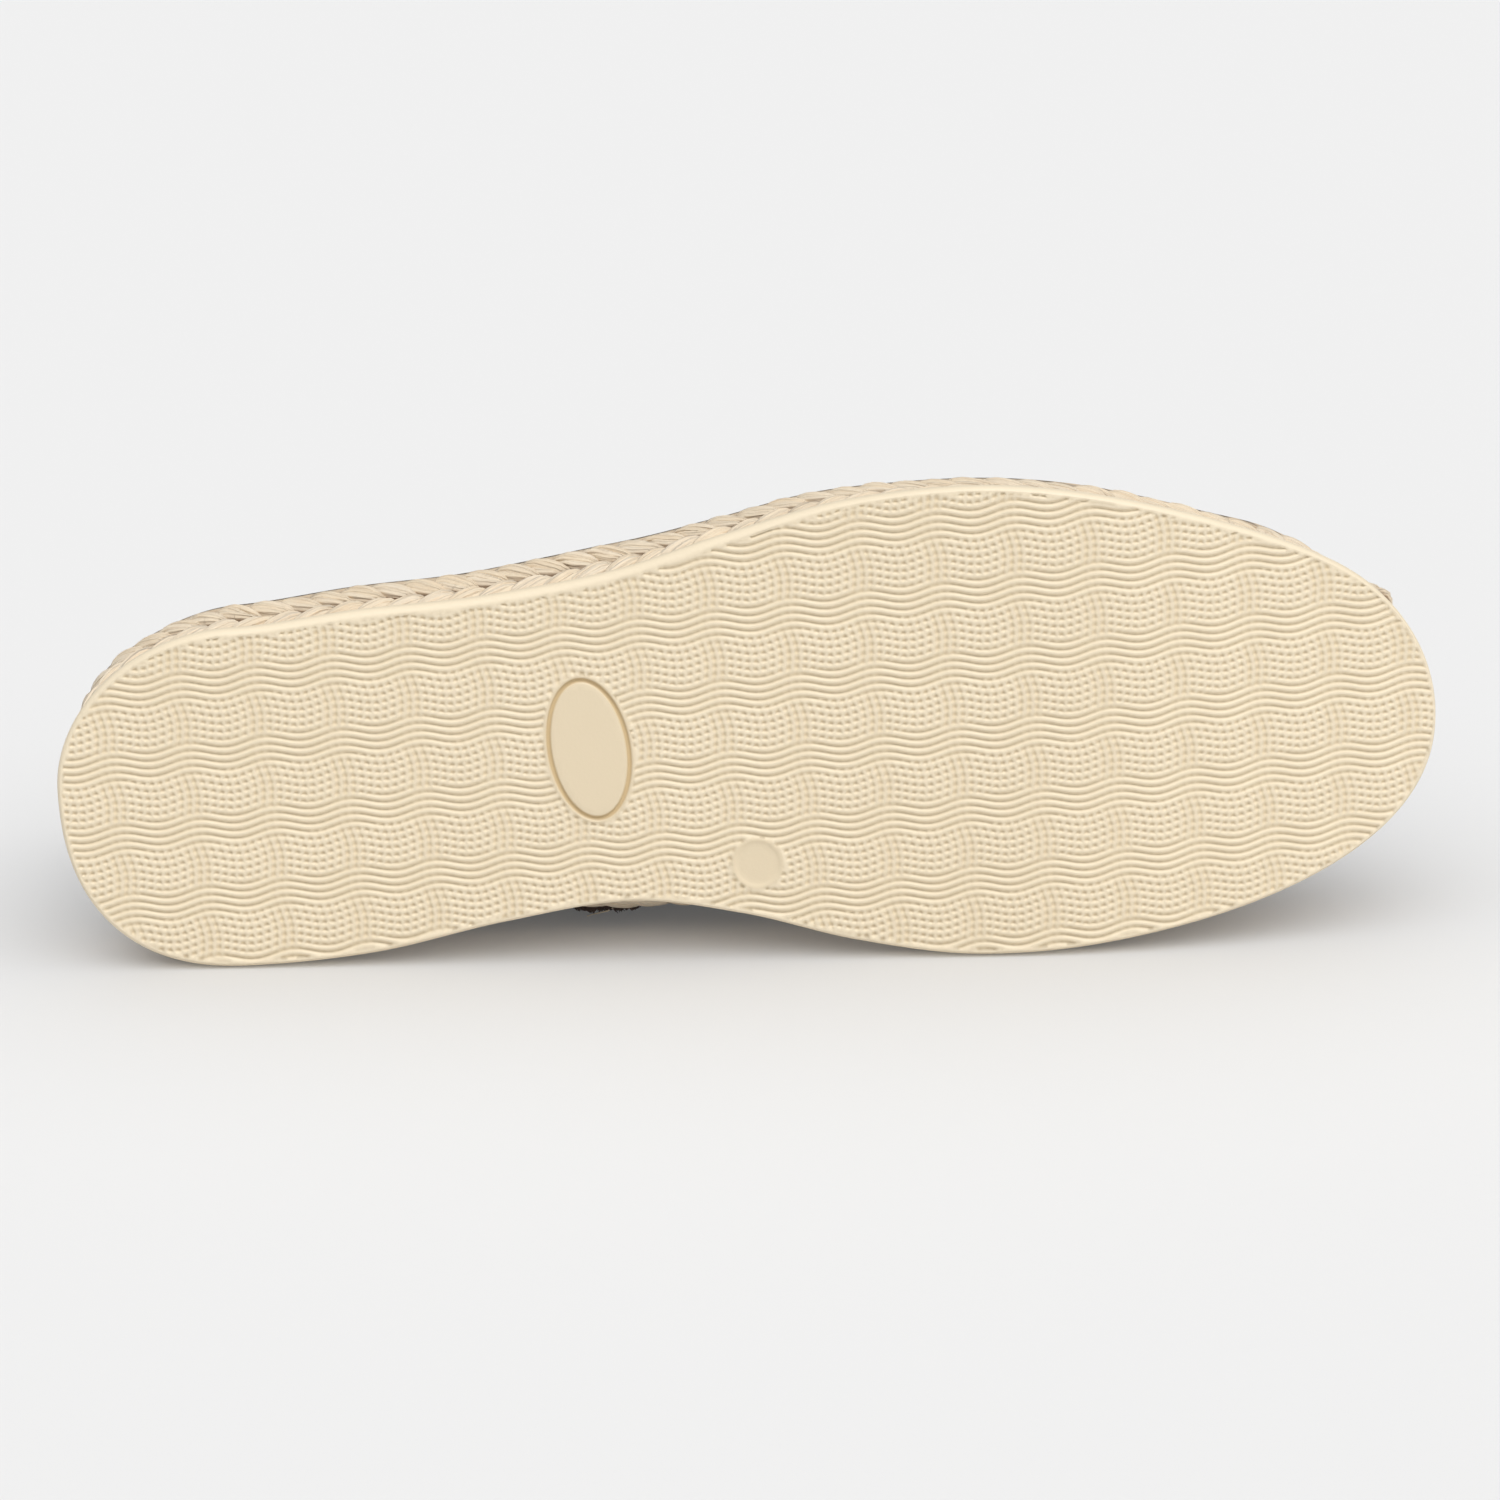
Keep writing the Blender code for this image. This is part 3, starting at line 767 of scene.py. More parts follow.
class EspadrilleStage(bpy.types.PropertyGroup):
    """Camera and light."""

    distance: FloatProperty(name="Distance", description="Camera to shoe", default=1.0, unit="LENGTH")
    elevation: FloatProperty(name="Elevation", description="Camera above the floor's level",
                             default=math.radians(19.06), subtype="ANGLE")
    azimuth: FloatProperty(name="Azimuth", description="Camera round the shoe", default=0.0, subtype="ANGLE")
    roll: FloatProperty(name="Roll", description="Camera turned about its view", default=math.radians(-0.9),
                        subtype="ANGLE")
    lens: FloatProperty(name="Lens", description="Focal length in millimetres", default=116.8)
    aim: FloatVectorProperty(name="Aim", description="Point in the middle of the picture",
                             default=(0.0, -0.037, 0.0441), subtype="XYZ", size=3)
    sky: FloatProperty(name="Sky", description="Strength of the studio's white ceiling", default=0.44)
    horizon: FloatProperty(name="Horizon", description="Brightness at the floor's level, of the ceiling's",
                           default=0.45)
    key: FloatProperty(name="Key", description="Strength of the key light on the shoe", default=2.25)
    key_from: FloatVectorProperty(name="Key from", description="Direction to the key light",
                                  default=(0.2, -0.4, 0.89), subtype="DIRECTION", size=3)
    key_spread: FloatProperty(name="Key spread", description="Angle that the key light fills",
                              default=math.radians(26.0), subtype="ANGLE")
    ceiling: FloatProperty(name="Ceiling", description="Strength of the wide light on the floor",
                           default=2.45)
    ceiling_from: FloatVectorProperty(name="Ceiling from", description="Direction to the wide light",
                                      default=(0.15, -0.08, 0.97), subtype="DIRECTION", size=3)
    ceiling_spread: FloatProperty(name="Ceiling spread", description="Angle that the wide light fills",
                                  default=math.radians(120.0), subtype="ANGLE")
    glow: FloatProperty(name="Glow", description="Least brightness of the floor in the shade", default=0.085)


def between(value, low, high):
    """A share that eases from 0 to 1 over a range."""
    share = np.clip((value - low) / (high - low), 0.0, 1.0)
    return share * share * (3.0 - 2.0 * share)


def rib_lines(ribs, first, last):
    """Counts of ribs, with parts of a rib for its slopes, and the height at each of them."""
    whole = np.arange(first, last)
    lines = (whole[:, None] + np.array(ribs.samples)).ravel()
    return lines, np.tile(ribs.heights, len(whole))


def wave_turn(ribs, along, across):
    """Phase of the wave of a family of ribs."""
    return 2.0 * math.pi * (along - ribs.wave_slope * across) / ribs.wave_length - ribs.wave_start


def tread_grid():
    """Points of the tread on the crests, slopes and valleys of both families of ribs, and their heights,
    which also set the painted shade.
    """
    rows, row_heights = rib_lines(LENGTHWISE, *ROWS)
    columns, column_heights = rib_lines(CROSSWISE, *COLUMNS)
    column, row = np.meshgrid(columns, rows)
    along, across = column * CROSSWISE.pitch, row * LENGTHWISE.pitch
    for _ in range(SETTLE_ROUNDS):
        swing = LENGTHWISE.wave * np.sin(wave_turn(LENGTHWISE, along, across))
        across = row * LENGTHWISE.pitch - LENGTHWISE.slope * along + swing
        swing = CROSSWISE.wave * np.sin(wave_turn(CROSSWISE, across, along))
        along = column * CROSSWISE.pitch - CROSSWISE.slope * across + swing
    band = between(np.sin(wave_turn(CROSSWISE, across, along)), *BAND_RANGE)
    crest = between(np.cos(wave_turn(LENGTHWISE, along, across) - CREST_TURN), *CREST_RANGE)
    share = np.maximum(np.maximum(band, CREST_SHARE * crest), FAINT_SHARE)
    sink = CREST_DROP * crest * (CREST_SINK[0] + CREST_SINK[1] * band)
    lengthwise = (1.0 - sink) * row_heights[:, None]
    relief_shade = 1.0 - (1.0 - lengthwise) * (1.0 - share * column_heights[None])
    return np.stack([along, across], -1).reshape(-1, 2), relief_shade.ravel()


def inside_rim(points, clear):
    """Which points lie inside the rim of the tread, by more than a clearance."""
    station = np.clip(points[:, 0], 0.0, SOLE_LENGTH)
    rough = np.where(points[:, 1] < 0.0, half_width(station, "outer"), half_width(station, "inner"))
    inside = (points[:, 0] > 0.0) & (points[:, 0] < SOLE_LENGTH) & (np.abs(points[:, 1]) < rough)
    near = np.nonzero(inside)[0]
    rim, outs = EDGE.points[::3], EDGE.outs[::3]
    insets = by_side(RIMS, rim)
    for part in np.array_split(near, 60):
        offset = points[part][:, None] - rim[None]
        closest = np.argmin((offset**2).sum(2), axis=1)
        gap = -(offset[np.arange(len(part)), closest] * outs[closest]).sum(1)
        inside[part] = gap > insets[closest] + clear
    return inside


def turned(points, angle):
    cos, sin = math.cos(angle), math.sin(angle)
    return points @ np.array(((cos, sin), (-sin, cos)))


def oval(place, size, grow):
    turn = 2.0 * math.pi * np.arange(MARK_POINTS) / MARK_POINTS
    half = np.array(size) / 2.0 + grow
    return np.array(place) + turned(np.stack([half[0] * np.cos(turn), half[1] * np.sin(turn)], 1), OVAL_TURN)


def in_oval(points, place, size, grow):
    local = turned(points - np.array(place), -OVAL_TURN)
    return ((local / (np.array(size) / 2.0 + grow)) ** 2).sum(1) < 1.0


class SHOE_OT_outsole(bpy.types.Operator):
    """Moulds the rubber sheet: wavy ribs, a plain rim, an oval plate in its groove and a sunk round"""

    bl_idname = "shoe.outsole"
    bl_label = "Outsole"

    def execute(self, context):
        depth = context.scene.espadrille_sizes.tread_depth / MM
        rim = edge_loop(RIM_POINTS)
        insets = by_side(RIMS, rim.points)
        flat = [moved_in(rim.points, rim.outs, insets, 0.0)[:, :2]]
        height = [np.zeros(RIM_POINTS)]
        # Painted highlight on the rim; the tread's painted shade follows its heights.
        relief_shade = [np.full(RIM_POINTS, RIM_HIGHLIGHT)]
        groove_shade = [np.zeros(RIM_POINTS)]
        loops = [list(range(RIM_POINTS))]

        def add(points, up, shade, groove):
            flat.append(points)
            for column, value in ((height, up), (relief_shade, shade), (groove_shade, groove)):
                column.append(np.broadcast_to(np.asarray(value, float), (len(points),)))

        marks = ((OVAL_PLACE, OVAL_SIZE, OVAL_RINGS), (ROUND_PLACE, ROUND_SIZE, ROUND_RINGS))
        for place, size, rings in marks:
            for ring in rings:
                first = sum(len(points) for points in flat)
                # Plain marks get a middle painted shade, and their grooves painted shade.
                add(oval(place, size, ring.grow), ring.sink, PLAIN_SHADE, ring.groove)
                loops.append(list(range(first, first + MARK_POINTS)))
        for place, size, rings in marks:
            steps = np.arange(-PLATE_STEPS, PLATE_STEPS + 1) * PLATE_STEP
            plate = np.stack(np.meshgrid(steps, steps), -1).reshape(-1, 2) + np.array(place)
            plate = plate[in_oval(plate, place, size, rings[-1].grow - PLATE_CLEAR)]
            add(plate, rings[-1].sink, PLAIN_SHADE, 0.0)

        points, raised = tread_grid()
        keep = inside_rim(points, TREAD_CLEAR)
        for place, size, _ in marks:
            keep &= ~in_oval(points, place, size, MARK_MARGIN + TREAD_CLEAR)
        add(points[keep], depth * (1.0 - raised[keep]), raised[keep], 0.0)

        flat = np.concatenate(flat)
        faces = filled(flat, loops)
        up = np.concatenate(height)
        corners = [np.column_stack([flat, lift(flat[:, 0]) + up])]
        relief_shade, groove_shade = [np.concatenate(relief_shade)], [np.concatenate(groove_shade)]
        below = np.arange(RIM_POINTS)
        count = len(flat)
        for level in EDGE_LEVELS:
            sharper = insets / RIM_INSET if level.height < OUTSOLE_THICK / 2.0 else np.ones(RIM_POINTS)
            corners.append(moved_in(rim.points, rim.outs, level.inset * sharper, level.height))
            above = np.arange(count, count + RIM_POINTS)
            faces += ring_faces(below, above)
            below, count = above, count + RIM_POINTS
            # Painted highlight on the rubber's rounded edge.
            relief_shade.append(np.full(RIM_POINTS, RIM_HIGHLIGHT))
            groove_shade.append(np.zeros(RIM_POINTS))
        faces += lid(corners[-1], count - RIM_POINTS)
        values = {"relief_shade": np.concatenate(relief_shade), "groove_shade": np.concatenate(groove_shade)}
        look = rubber_look(context.scene.espadrille_colours)
        piece = add_piece("outsole_tread", np.concatenate(corners), faces, [look], values=values)
        face_outwards(piece)
        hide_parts("outsole")
        return {"FINISHED"}


def strand_form():
    """One yarn of a strand as a long fat grain: corners from -1 to 1, faces, and UV for each loop."""
    bpy.ops.object.select_all(action="DESELECT")
    bpy.ops.mesh.primitive_uv_sphere_add(segments=STRAND_SIDES, ring_count=STRAND_RINGS, radius=1.0)
    made = bpy.context.object
    mesh = made.data
    corners = np.array([vertex.co for vertex in mesh.vertices])
    faces = [list(face.vertices) for face in mesh.polygons]
    uv = np.array([loop.uv for loop in mesh.uv_layers[0].data])
    bpy.data.objects.remove(made, do_unlink=True)
    bpy.data.meshes.remove(mesh)
    thin = np.maximum(1.0 - corners[:, 2] ** 2, 1e-6)
    corners[:, :2] *= (thin ** (STRAND_FULLNESS - 0.5))[:, None]
    corners[np.abs(corners[:, 2]) > 0.9999, :2] = 0.0
    return corners, faces, uv


def jute_face(points, share):
    """How far the side of the jute stands in from the outline, at a share of its height."""
    return JUTE_INSET + by_side(JUTE_LEAN, points) * share


BULGE_ARCS = [arc_of(bulge.station, bulge.side) for bulge in BULGES]


def bulge_stand(arc):
    """How far the bulges push the side of the jute out, at distances along the outline."""
    stand = np.zeros(np.shape(arc))
    for bulge, place in zip(BULGES, BULGE_ARCS):
        stand = stand + bulge.stand * np.exp(-(((arc - place) / bulge.reach) ** 2))
    return stand


class SHOE_OT_plait(bpy.types.Operator):
    """Lays two rows of slanted strands of yarn round the side of a jute core painted dark as shade"""

    bl_idname = "shoe.plait"
    bl_label = "Jute plait"

    def execute(self, context):
        look = jute_look(context.scene.espadrille_colours)
        draw = np.random.default_rng(SEED)
        form, form_faces, form_uv = strand_form()
        many = 2 * round(EDGE.length / (context.scene.espadrille_sizes.strand_pitch / MM) / 2.0)
        row_height = (JUTE_THICK - GAP - PLAIT_LOW) / PLAIT_ROWS
        corners, faces, uv, tint, depth = [], [], [], [], []
        for row in range(PLAIT_ROWS):
            middle = OUTSOLE_THICK + GAP + PLAIT_LOW + row_height * (row + 0.5)
            for strand, yarn in ((strand, yarn) for strand in range(many) for yarn in STRAND_YARNS):
                start = EDGE.length * (strand + 0.5 * row) / many + draw.normal(0.0, STRAND_UNEVEN.place)
                slant = STRAND_SLANT[row] + draw.normal(0.0, STRAND_UNEVEN.slant)
                size = np.array(STRAND_HALF) * draw.normal(1.0, STRAND_UNEVEN.size, 3)
                run = form[:, 2] * size[0]
                across = form[:, 0] * size[1] + yarn * (1.0 - YARN_CLOSE * form[:, 2] ** 2)
                wide = across + STRAND_SWAY * np.sin(form[:, 2] * math.pi) * np.sign(slant)
                away = run * math.cos(slant) - wide * math.sin(slant)
                up = run * math.sin(slant) + wide * math.cos(slant)
                reach = row_height / 2.0 * ROW_SQUEEZE
                up = reach * np.tanh(up / reach * ROW_PRESS)
                arc = start + away
                points, outs = at_arc(arc)
                height = middle + up
                stand = STRAND_STAND + bulge_stand(arc)
                share = (height - OUTSOLE_THICK - GAP) / (JUTE_THICK - GAP)
                tuck = STRAND_TUCK * form[:, 2] ** 4 * (1.0 - STRAND_TOP_TUCK * between(share, *TOP_EDGE))
                deep = size[2] * (1.0 - form[:, 1]) + tuck - STRAND_SHINGLE * across
                deep = deep + YARN_SINK * yarn**2 + draw.normal(0.0, STRAND_UNEVEN.depth)
                inset = jute_face(points, share) - stand + deep
                first = sum(len(part) for part in corners)
                corners.append(moved_in(points, outs, inset, height))
                faces += [[first + corner for corner in face] for face in form_faces]
                spread = draw.uniform(0.0, STRAND_UV_SPREAD, 2)
                uv.append(form_uv * (2.0 * math.pi * size[1], 2.0 * size[0]) + spread)
                tint.append(np.full(len(form), draw.uniform()))
                # Painted shade on the parts of each strand that sink into the plait.
                depth.append(between(deep, *PIT_RANGE))
        loops_uv = np.concatenate(uv)[:, ::-1]
        plait = add_piece("jute_plait", np.concatenate(corners), faces, [look], uv=loops_uv,
                          values={"tint": np.concatenate(tint), "depth": np.concatenate(depth)})
        face_outwards(plait)
        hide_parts("jute_midsole")
        self.build_core(look)
        return {"FINISHED"}

    def build_core(self, look):
        """The middle of the jute behind the strands, painted dark as shade and paler towards its top edge;
        closed above and below.
        """
        loop = edge_loop(CORE_POINTS)
        corners, faces = [], []
        levels = np.linspace(*CORE_SHARES, CORE_LEVELS)
        filled_out = between(levels, *TOP_EDGE)
        pushed = np.maximum(bulge_stand(loop.arcs), 0.0)
        for step, share in enumerate(levels):
            sunk = CORE_INSET * (1.0 - CORE_FILL * filled_out[step]) - pushed
            inset = jute_face(loop.points, share) + sunk
            height = OUTSOLE_THICK + GAP + (JUTE_THICK - GAP) * share
            corners.append(moved_in(loop.points, loop.outs, inset, height))
            if step:
                lower = np.arange((step - 1) * CORE_POINTS, step * CORE_POINTS)
                faces += ring_faces(lower, lower + CORE_POINTS)
        for first, ring in ((0, corners[0]), ((len(levels) - 1) * CORE_POINTS, corners[-1])):
            faces += lid(ring, first)
        points = np.concatenate(corners)
        # Painted shade: dark behind the strands, paler near the top edge.
        side = np.repeat(1.0 - CORE_PALE * filled_out, CORE_POINTS)
        uv = np.column_stack([np.tile(loop.arcs, len(levels)), points[:, 2]])
        core = add_piece("jute_core", points, faces, [look], uv=uv,
                         values={"tint": np.zeros(len(points)), "depth": side})
        face_outwards(core)


class SHOE_OT_hairs(bpy.types.Operator):
    """Pulls stray fibres out of the plait"""

    bl_idname = "shoe.hairs"
    bl_label = "Jute hairs"

    def execute(self, context):
        sizes = context.scene.espadrille_sizes
        draw = np.random.default_rng(SEED + 1)
        many = sizes.hairs
        tuft = many // TUFT_PART
        arc = draw.uniform(0.0, EDGE.length, many)
        arc[:tuft] = arc_of(TUFT_STATION, "inner") + draw.normal(0.0, TUFT_SPREAD, tuft)
        share = draw.uniform(*HAIR_SHARES, many)
        run = draw.uniform(*HAIR_RUNS, many)
        lean = draw.uniform(*HAIR_LEANS, many)
        rise = draw.normal(0.0, HAIR_RISE, many)
        curl = draw.normal(0.0, HAIR_CURL, many)
        steps = np.linspace(0.0, 1.0, HAIR_STEPS)
        paths = np.zeros((many, len(steps), 3))
        for index, step in enumerate(steps):
            points, outs = at_arc(arc + run * step * np.sin(lean + curl * step))
            height = OUTSOLE_THICK + 1.0 + (JUTE_THICK - 2.0) * share + run * step * rise * 0.6
            height = np.clip(height, OUTSOLE_THICK + HAIR_CLEAR[0], JUTE_TOP - HAIR_CLEAR[1])
            stand = 0.2 + run * step * np.maximum(np.cos(lean + curl * step), 0.12) * 0.5
            paths[:, index] = moved_in(points, outs, jute_face(points, share) - stand, height)
        floor = lay(paths.reshape(-1, 3))[:, 2].reshape(many, -1).min(1)
        paths = paths[floor > 2.0 * sizes.hair_radius]
        corners, faces, uv = tubes(paths, sizes.hair_radius / MM, 3, HAIR_TAPER)
        look = jute_look(context.scene.espadrille_colours)
        values = {"tint": np.ones(len(corners)), "depth": np.zeros(len(corners))}
        add_piece("jute_hairs", corners, faces, [look], uv=uv, values=values)
        return {"FINISHED"}


def ridge_station(station):
    """Where on the ridge the rib of a station ends."""
    toe_share = np.maximum(0.0, station - TOE_BEND_START) / (SOLE_LENGTH - TOE_BEND_START)
    heel_share = np.maximum(0.0, HEEL_BEND_END - station) / HEEL_BEND_END
    return station - RIDGE_FROM_TOE * toe_share**2 + RIDGE_FROM_HEEL * heel_share**2


def kept_share(station):
    """Share of a rib below the collar."""
    side = smooth(COLLARS, "share", station)
    turn = np.clip((station - THROAT + THROAT_ROUND) / THROAT_ROUND, 0.0, 1.0)
    return side + (1.0 - side) * (1.0 - np.sqrt(1.0 - turn * turn))


def foot_inset(station, side):
    return JUTE_INSET + smooth(JUTE_LEAN, side, station) + UPPER_INSET


def edge_at(station, side):
    """Points of the outline and directions out, at stations of one side."""
    _, outs = at_arc(arc_of(station, side))
    sign = -1.0 if side == "outer" else 1.0
    return np.stack([station, sign * half_width(station, side)], -1), outs


def last_point(station, side, share):
    """Points of the upper's outside, at stations of one side and shares of their ribs."""
    points, outs = edge_at(station, side)
    foot = moved_in(points, outs, foot_inset(station, side), FOOT_HEIGHT + FOOT_HEM)
    ridge = ridge_station(station)
    middle = (half_width(ridge, "inner") - half_width(ridge, "outer")) / 2.0
    top = np.stack([ridge, middle, smooth(CROWNS, "height", ridge)], -1)
    low = foot.copy()
    low[..., :2] += outs * smooth(CROWNS, side, ridge)[..., None]
    low[..., 2] += (top[..., 2] - foot[..., 2]) * RIB_UPRIGHT
    high = top.copy()
    high[..., :2] += (foot - top)[..., :2] * RIB_OVER
    t = np.asarray(share)[..., None]
    rest = 1.0 - t
    return foot * rest**3 + low * 3.0 * t * rest**2 + high * 3.0 * t**2 * rest + top * t**3


def cloth_normal(station, side, share):
    """Directions out of the upper, at stations of one side and shares of their ribs."""
    step = 0.002
    up = last_point(station, side, np.minimum(share + step, 1.0)) - last_point(station, side, share - step)
    ahead = last_point(np.minimum(station + 0.2, SOLE_LENGTH), side, share)
    along = ahead - last_point(np.maximum(station - 0.2, 0.0), side, share)
    return unit(np.cross(along, up)) * (1.0 if side == "outer" else -1.0)


def upper_stations():
    """Places along the shoe, closer together where the outline or the throat turns."""
    quarter = math.pi / 2.0
    heel_shares = np.arange(HEEL_COLUMNS) / HEEL_COLUMNS
    heel = HEEL_ROUND * (1.0 - np.cos(quarter * heel_shares**END_CROWD))
    start = THROAT - THROAT_ROUND
    waist = HEEL_ROUND + (start - HEEL_ROUND) * np.arange(WAIST_COLUMNS) / WAIST_COLUMNS
    throat = start + THROAT_ROUND * np.sin(quarter * np.arange(THROAT_COLUMNS) / THROAT_COLUMNS)
    ball = THROAT + (TOE_BEND_START - THROAT) * np.arange(BALL_COLUMNS) / BALL_COLUMNS
    turns = quarter * (1.0 - (1.0 - np.linspace(0.0, 1.0, TOE_COLUMNS + 1)) ** END_CROWD)
    toe = TOE_BEND_START + (SOLE_LENGTH - TOE_BEND_START) * np.sin(turns)
    return np.concatenate([heel, waist, throat, ball, toe])


def below_collar(station, share, to_edge):
    """Distance of the cloth from the edge of the collar: up its rib, or back to the round of the throat."""
    side = COLLARS[-1].share
    rise = np.clip((share - side) / (1.0 - side), 0.0, 1.0)
    back = station - THROAT + THROAT_ROUND * (1.0 - np.sqrt(1.0 - (1.0 - rise) ** 2))
    return np.minimum(np.where(station < THROAT, to_edge, NO_EDGE), np.where(rise > 0.0, back, NO_EDGE))


def soft_form(station, height, share, side, below):
    """How far the cloth stands out of the last: creases, hem and the overlap of the side seam."""
    stand = DRAPE_STAND * np.sin(station / 9.0 + height / 7.0) * np.sin(height / 11.0 + 1.0)
    for crease in CREASES:
        if crease.side == side:
            off = (station - crease.station + crease.slant * (height - CREASE_LEVEL)) / crease.width
            stand = stand + crease.depth * np.exp(-off * off)
    loose = between(height - FOOT_HEIGHT, DRAPE_START, DRAPE_START + DRAPE_FULL)
    stand = stand * loose * np.clip(DRAPE_TOP - share, 0.0, 1.0)
    hem = np.clip((HEM_DEEP - below) / HEM_STEP + 0.5, 0.0, 1.0)
    behind = station - SEAM_STATION + SEAM_SLANT * (height - SEAM_LEVEL)
    seam = np.clip(behind / SEAM_STEP + 0.5, 0.0, 1.0)
    return stand + HEM_STAND * hem + SEAM_STAND * seam


Shell = namedtuple("Shell", "points arcs runs")


def upper_shell():
    """The upper's outside as a grid: columns round the shoe, rows from the hem on the jute up to the edge."""
    station = upper_stations()
    columns, normals = {}, {}
    for side in ("outer", "inner"):
        share = kept_share(station)[:, None] * np.linspace(0.0, 1.0, RIB_STEPS + 1)
        places = np.repeat(station[:, None], RIB_STEPS + 1, 1)
        points, outs = edge_at(station, side)
        hem = moved_in(points, outs, foot_inset(station, side), FOOT_HEIGHT)
        columns[side] = np.concatenate([hem[:, None], last_point(places, side, share)], 1)
        normals[side] = cloth_normal(places, side, share)[:, [0, *range(RIB_STEPS + 1)]]
    points = np.concatenate([columns["outer"], columns["inner"][-2:0:-1]])
    normal = np.concatenate([normals["outer"], normals["inner"][-2:0:-1]])
    stations = np.concatenate([station, station[-2:0:-1]])
    sides = np.array(["outer"] * len(station) + ["inner"] * (len(station) - 2))
    runs = runs_along(points)
    rows = np.concatenate([[0.0], np.linspace(0.0, 1.0, RIB_STEPS + 1)])
    share = rows[None] * kept_share(stations)[:, None]
    below = below_collar(stations[:, None], share, runs[:, -1:] - runs)
    stand = np.zeros(runs.shape)
    for side in ("outer", "inner"):
        pick = sides == side
        stand[pick] = soft_form(stations[pick][:, None], points[pick][..., 2], share[pick], side, below[pick])
    points = points + normal * stand[..., None]
    mirror = len(points) - np.arange(len(points))
    for index in range(1, len(station) - 1):
        if stations[index] >= THROAT:
            both = (points[index, -1] + points[mirror[index], -1]) / 2.0
            points[index, -1] = both
            points[mirror[index], -1] = both
    return Shell(points, runs_along(points[:, UV_ROW]), runs)


class SHOE_OT_upper(bpy.types.Operator):
    """Drapes the cloth shell over the last, gives it a wall and a lining, and merges it on the ridge"""

    bl_idname = "shoe.upper"
    bl_label = "Upper"

    def execute(self, context):
        colours, sizes = context.scene.espadrille_colours, context.scene.espadrille_sizes
        shell = upper_shell()
        around, rows = shell.points.shape[:2]
        index = np.arange(around * rows).reshape(around, rows)
        here, ahead = index, np.roll(index, -1, 0)
        faces = np.stack([here[:, :-1], ahead[:, :-1], ahead[:, 1:], here[:, 1:]], -1).reshape(-1, 4)
        arcs = np.append(shell.arcs, shell.arcs[-1] + shell.arcs[1])
        run_here, run_ahead = shell.runs, np.roll(shell.runs, -1, 0)
        left = np.broadcast_to(arcs[:-1, None], run_here.shape)
        right = np.broadcast_to(arcs[1:, None], run_here.shape)
        cells = [(left[:, :-1], run_here[:, :-1]), (right[:, :-1], run_ahead[:, :-1]),
                 (right[:, 1:], run_ahead[:, 1:]), (left[:, 1:], run_here[:, 1:])]
        uv = np.stack([np.stack(cell, -1) for cell in cells], 2).reshape(-1, 2)
        thread = sizes.weave_thread / MM
        looks = [cloth_look("dark_canvas", colours.canvas, colours.canvas_fleck, thread, 0.25),
                 cloth_look("lining_cloth", colours.lining, colours.lining_fleck, thread, 0.1)]
        upper = add_piece("upper_canvas", shell.points.reshape(-1, 3), faces.tolist(), looks, uv=uv)
        make_active(upper)
        bpy.ops.object.mode_set(mode="EDIT")
        bpy.ops.mesh.select_all(action="SELECT")
        bpy.ops.mesh.remove_doubles(threshold=MERGE_NEAR * MM)
        bpy.ops.object.mode_set(mode="OBJECT")
        middle = sum((vertex.co for vertex in upper.data.vertices), Vector()) / len(upper.data.vertices)
        outwards = sum((face.center - middle).dot(face.normal) * face.area for face in upper.data.polygons)
        if outwards < 0.0:
            upper.data.flip_normals()
        wall = upper.modifiers.new("wall", "SOLIDIFY")
        wall.thickness = UPPER_WALL * MM
        wall.offset = -1.0
        wall.material_offset = 1
        bpy.ops.object.modifier_apply(modifier=wall.name)
        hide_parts("upper")
        return {"FINISHED"}


def cloth_point(station, side, height_run, stand):
    """Points just off the upper's outside, at distances up its ribs from the foot."""
    share = np.linspace(0.0, 1.0, RIB_SAMPLES)
    across = (len(station), RIB_SAMPLES)
    column = last_point(np.broadcast_to(station[:, None], across), side, np.broadcast_to(share, across))
    runs = runs_along(column)
    found = np.array([np.interp(want, run, share) for want, run in zip(height_run, runs)])
    place = last_point(station, side, found)
    normal = cloth_normal(station, side, found)
    collar = np.array([np.interp(kept, share, run) for kept, run in zip(kept_share(station), runs)])
    below = below_collar(station, found, collar - height_run)
    drape = soft_form(station, place[:, 2], found, side, below)
    return place + normal * (drape[:, None] + stand)


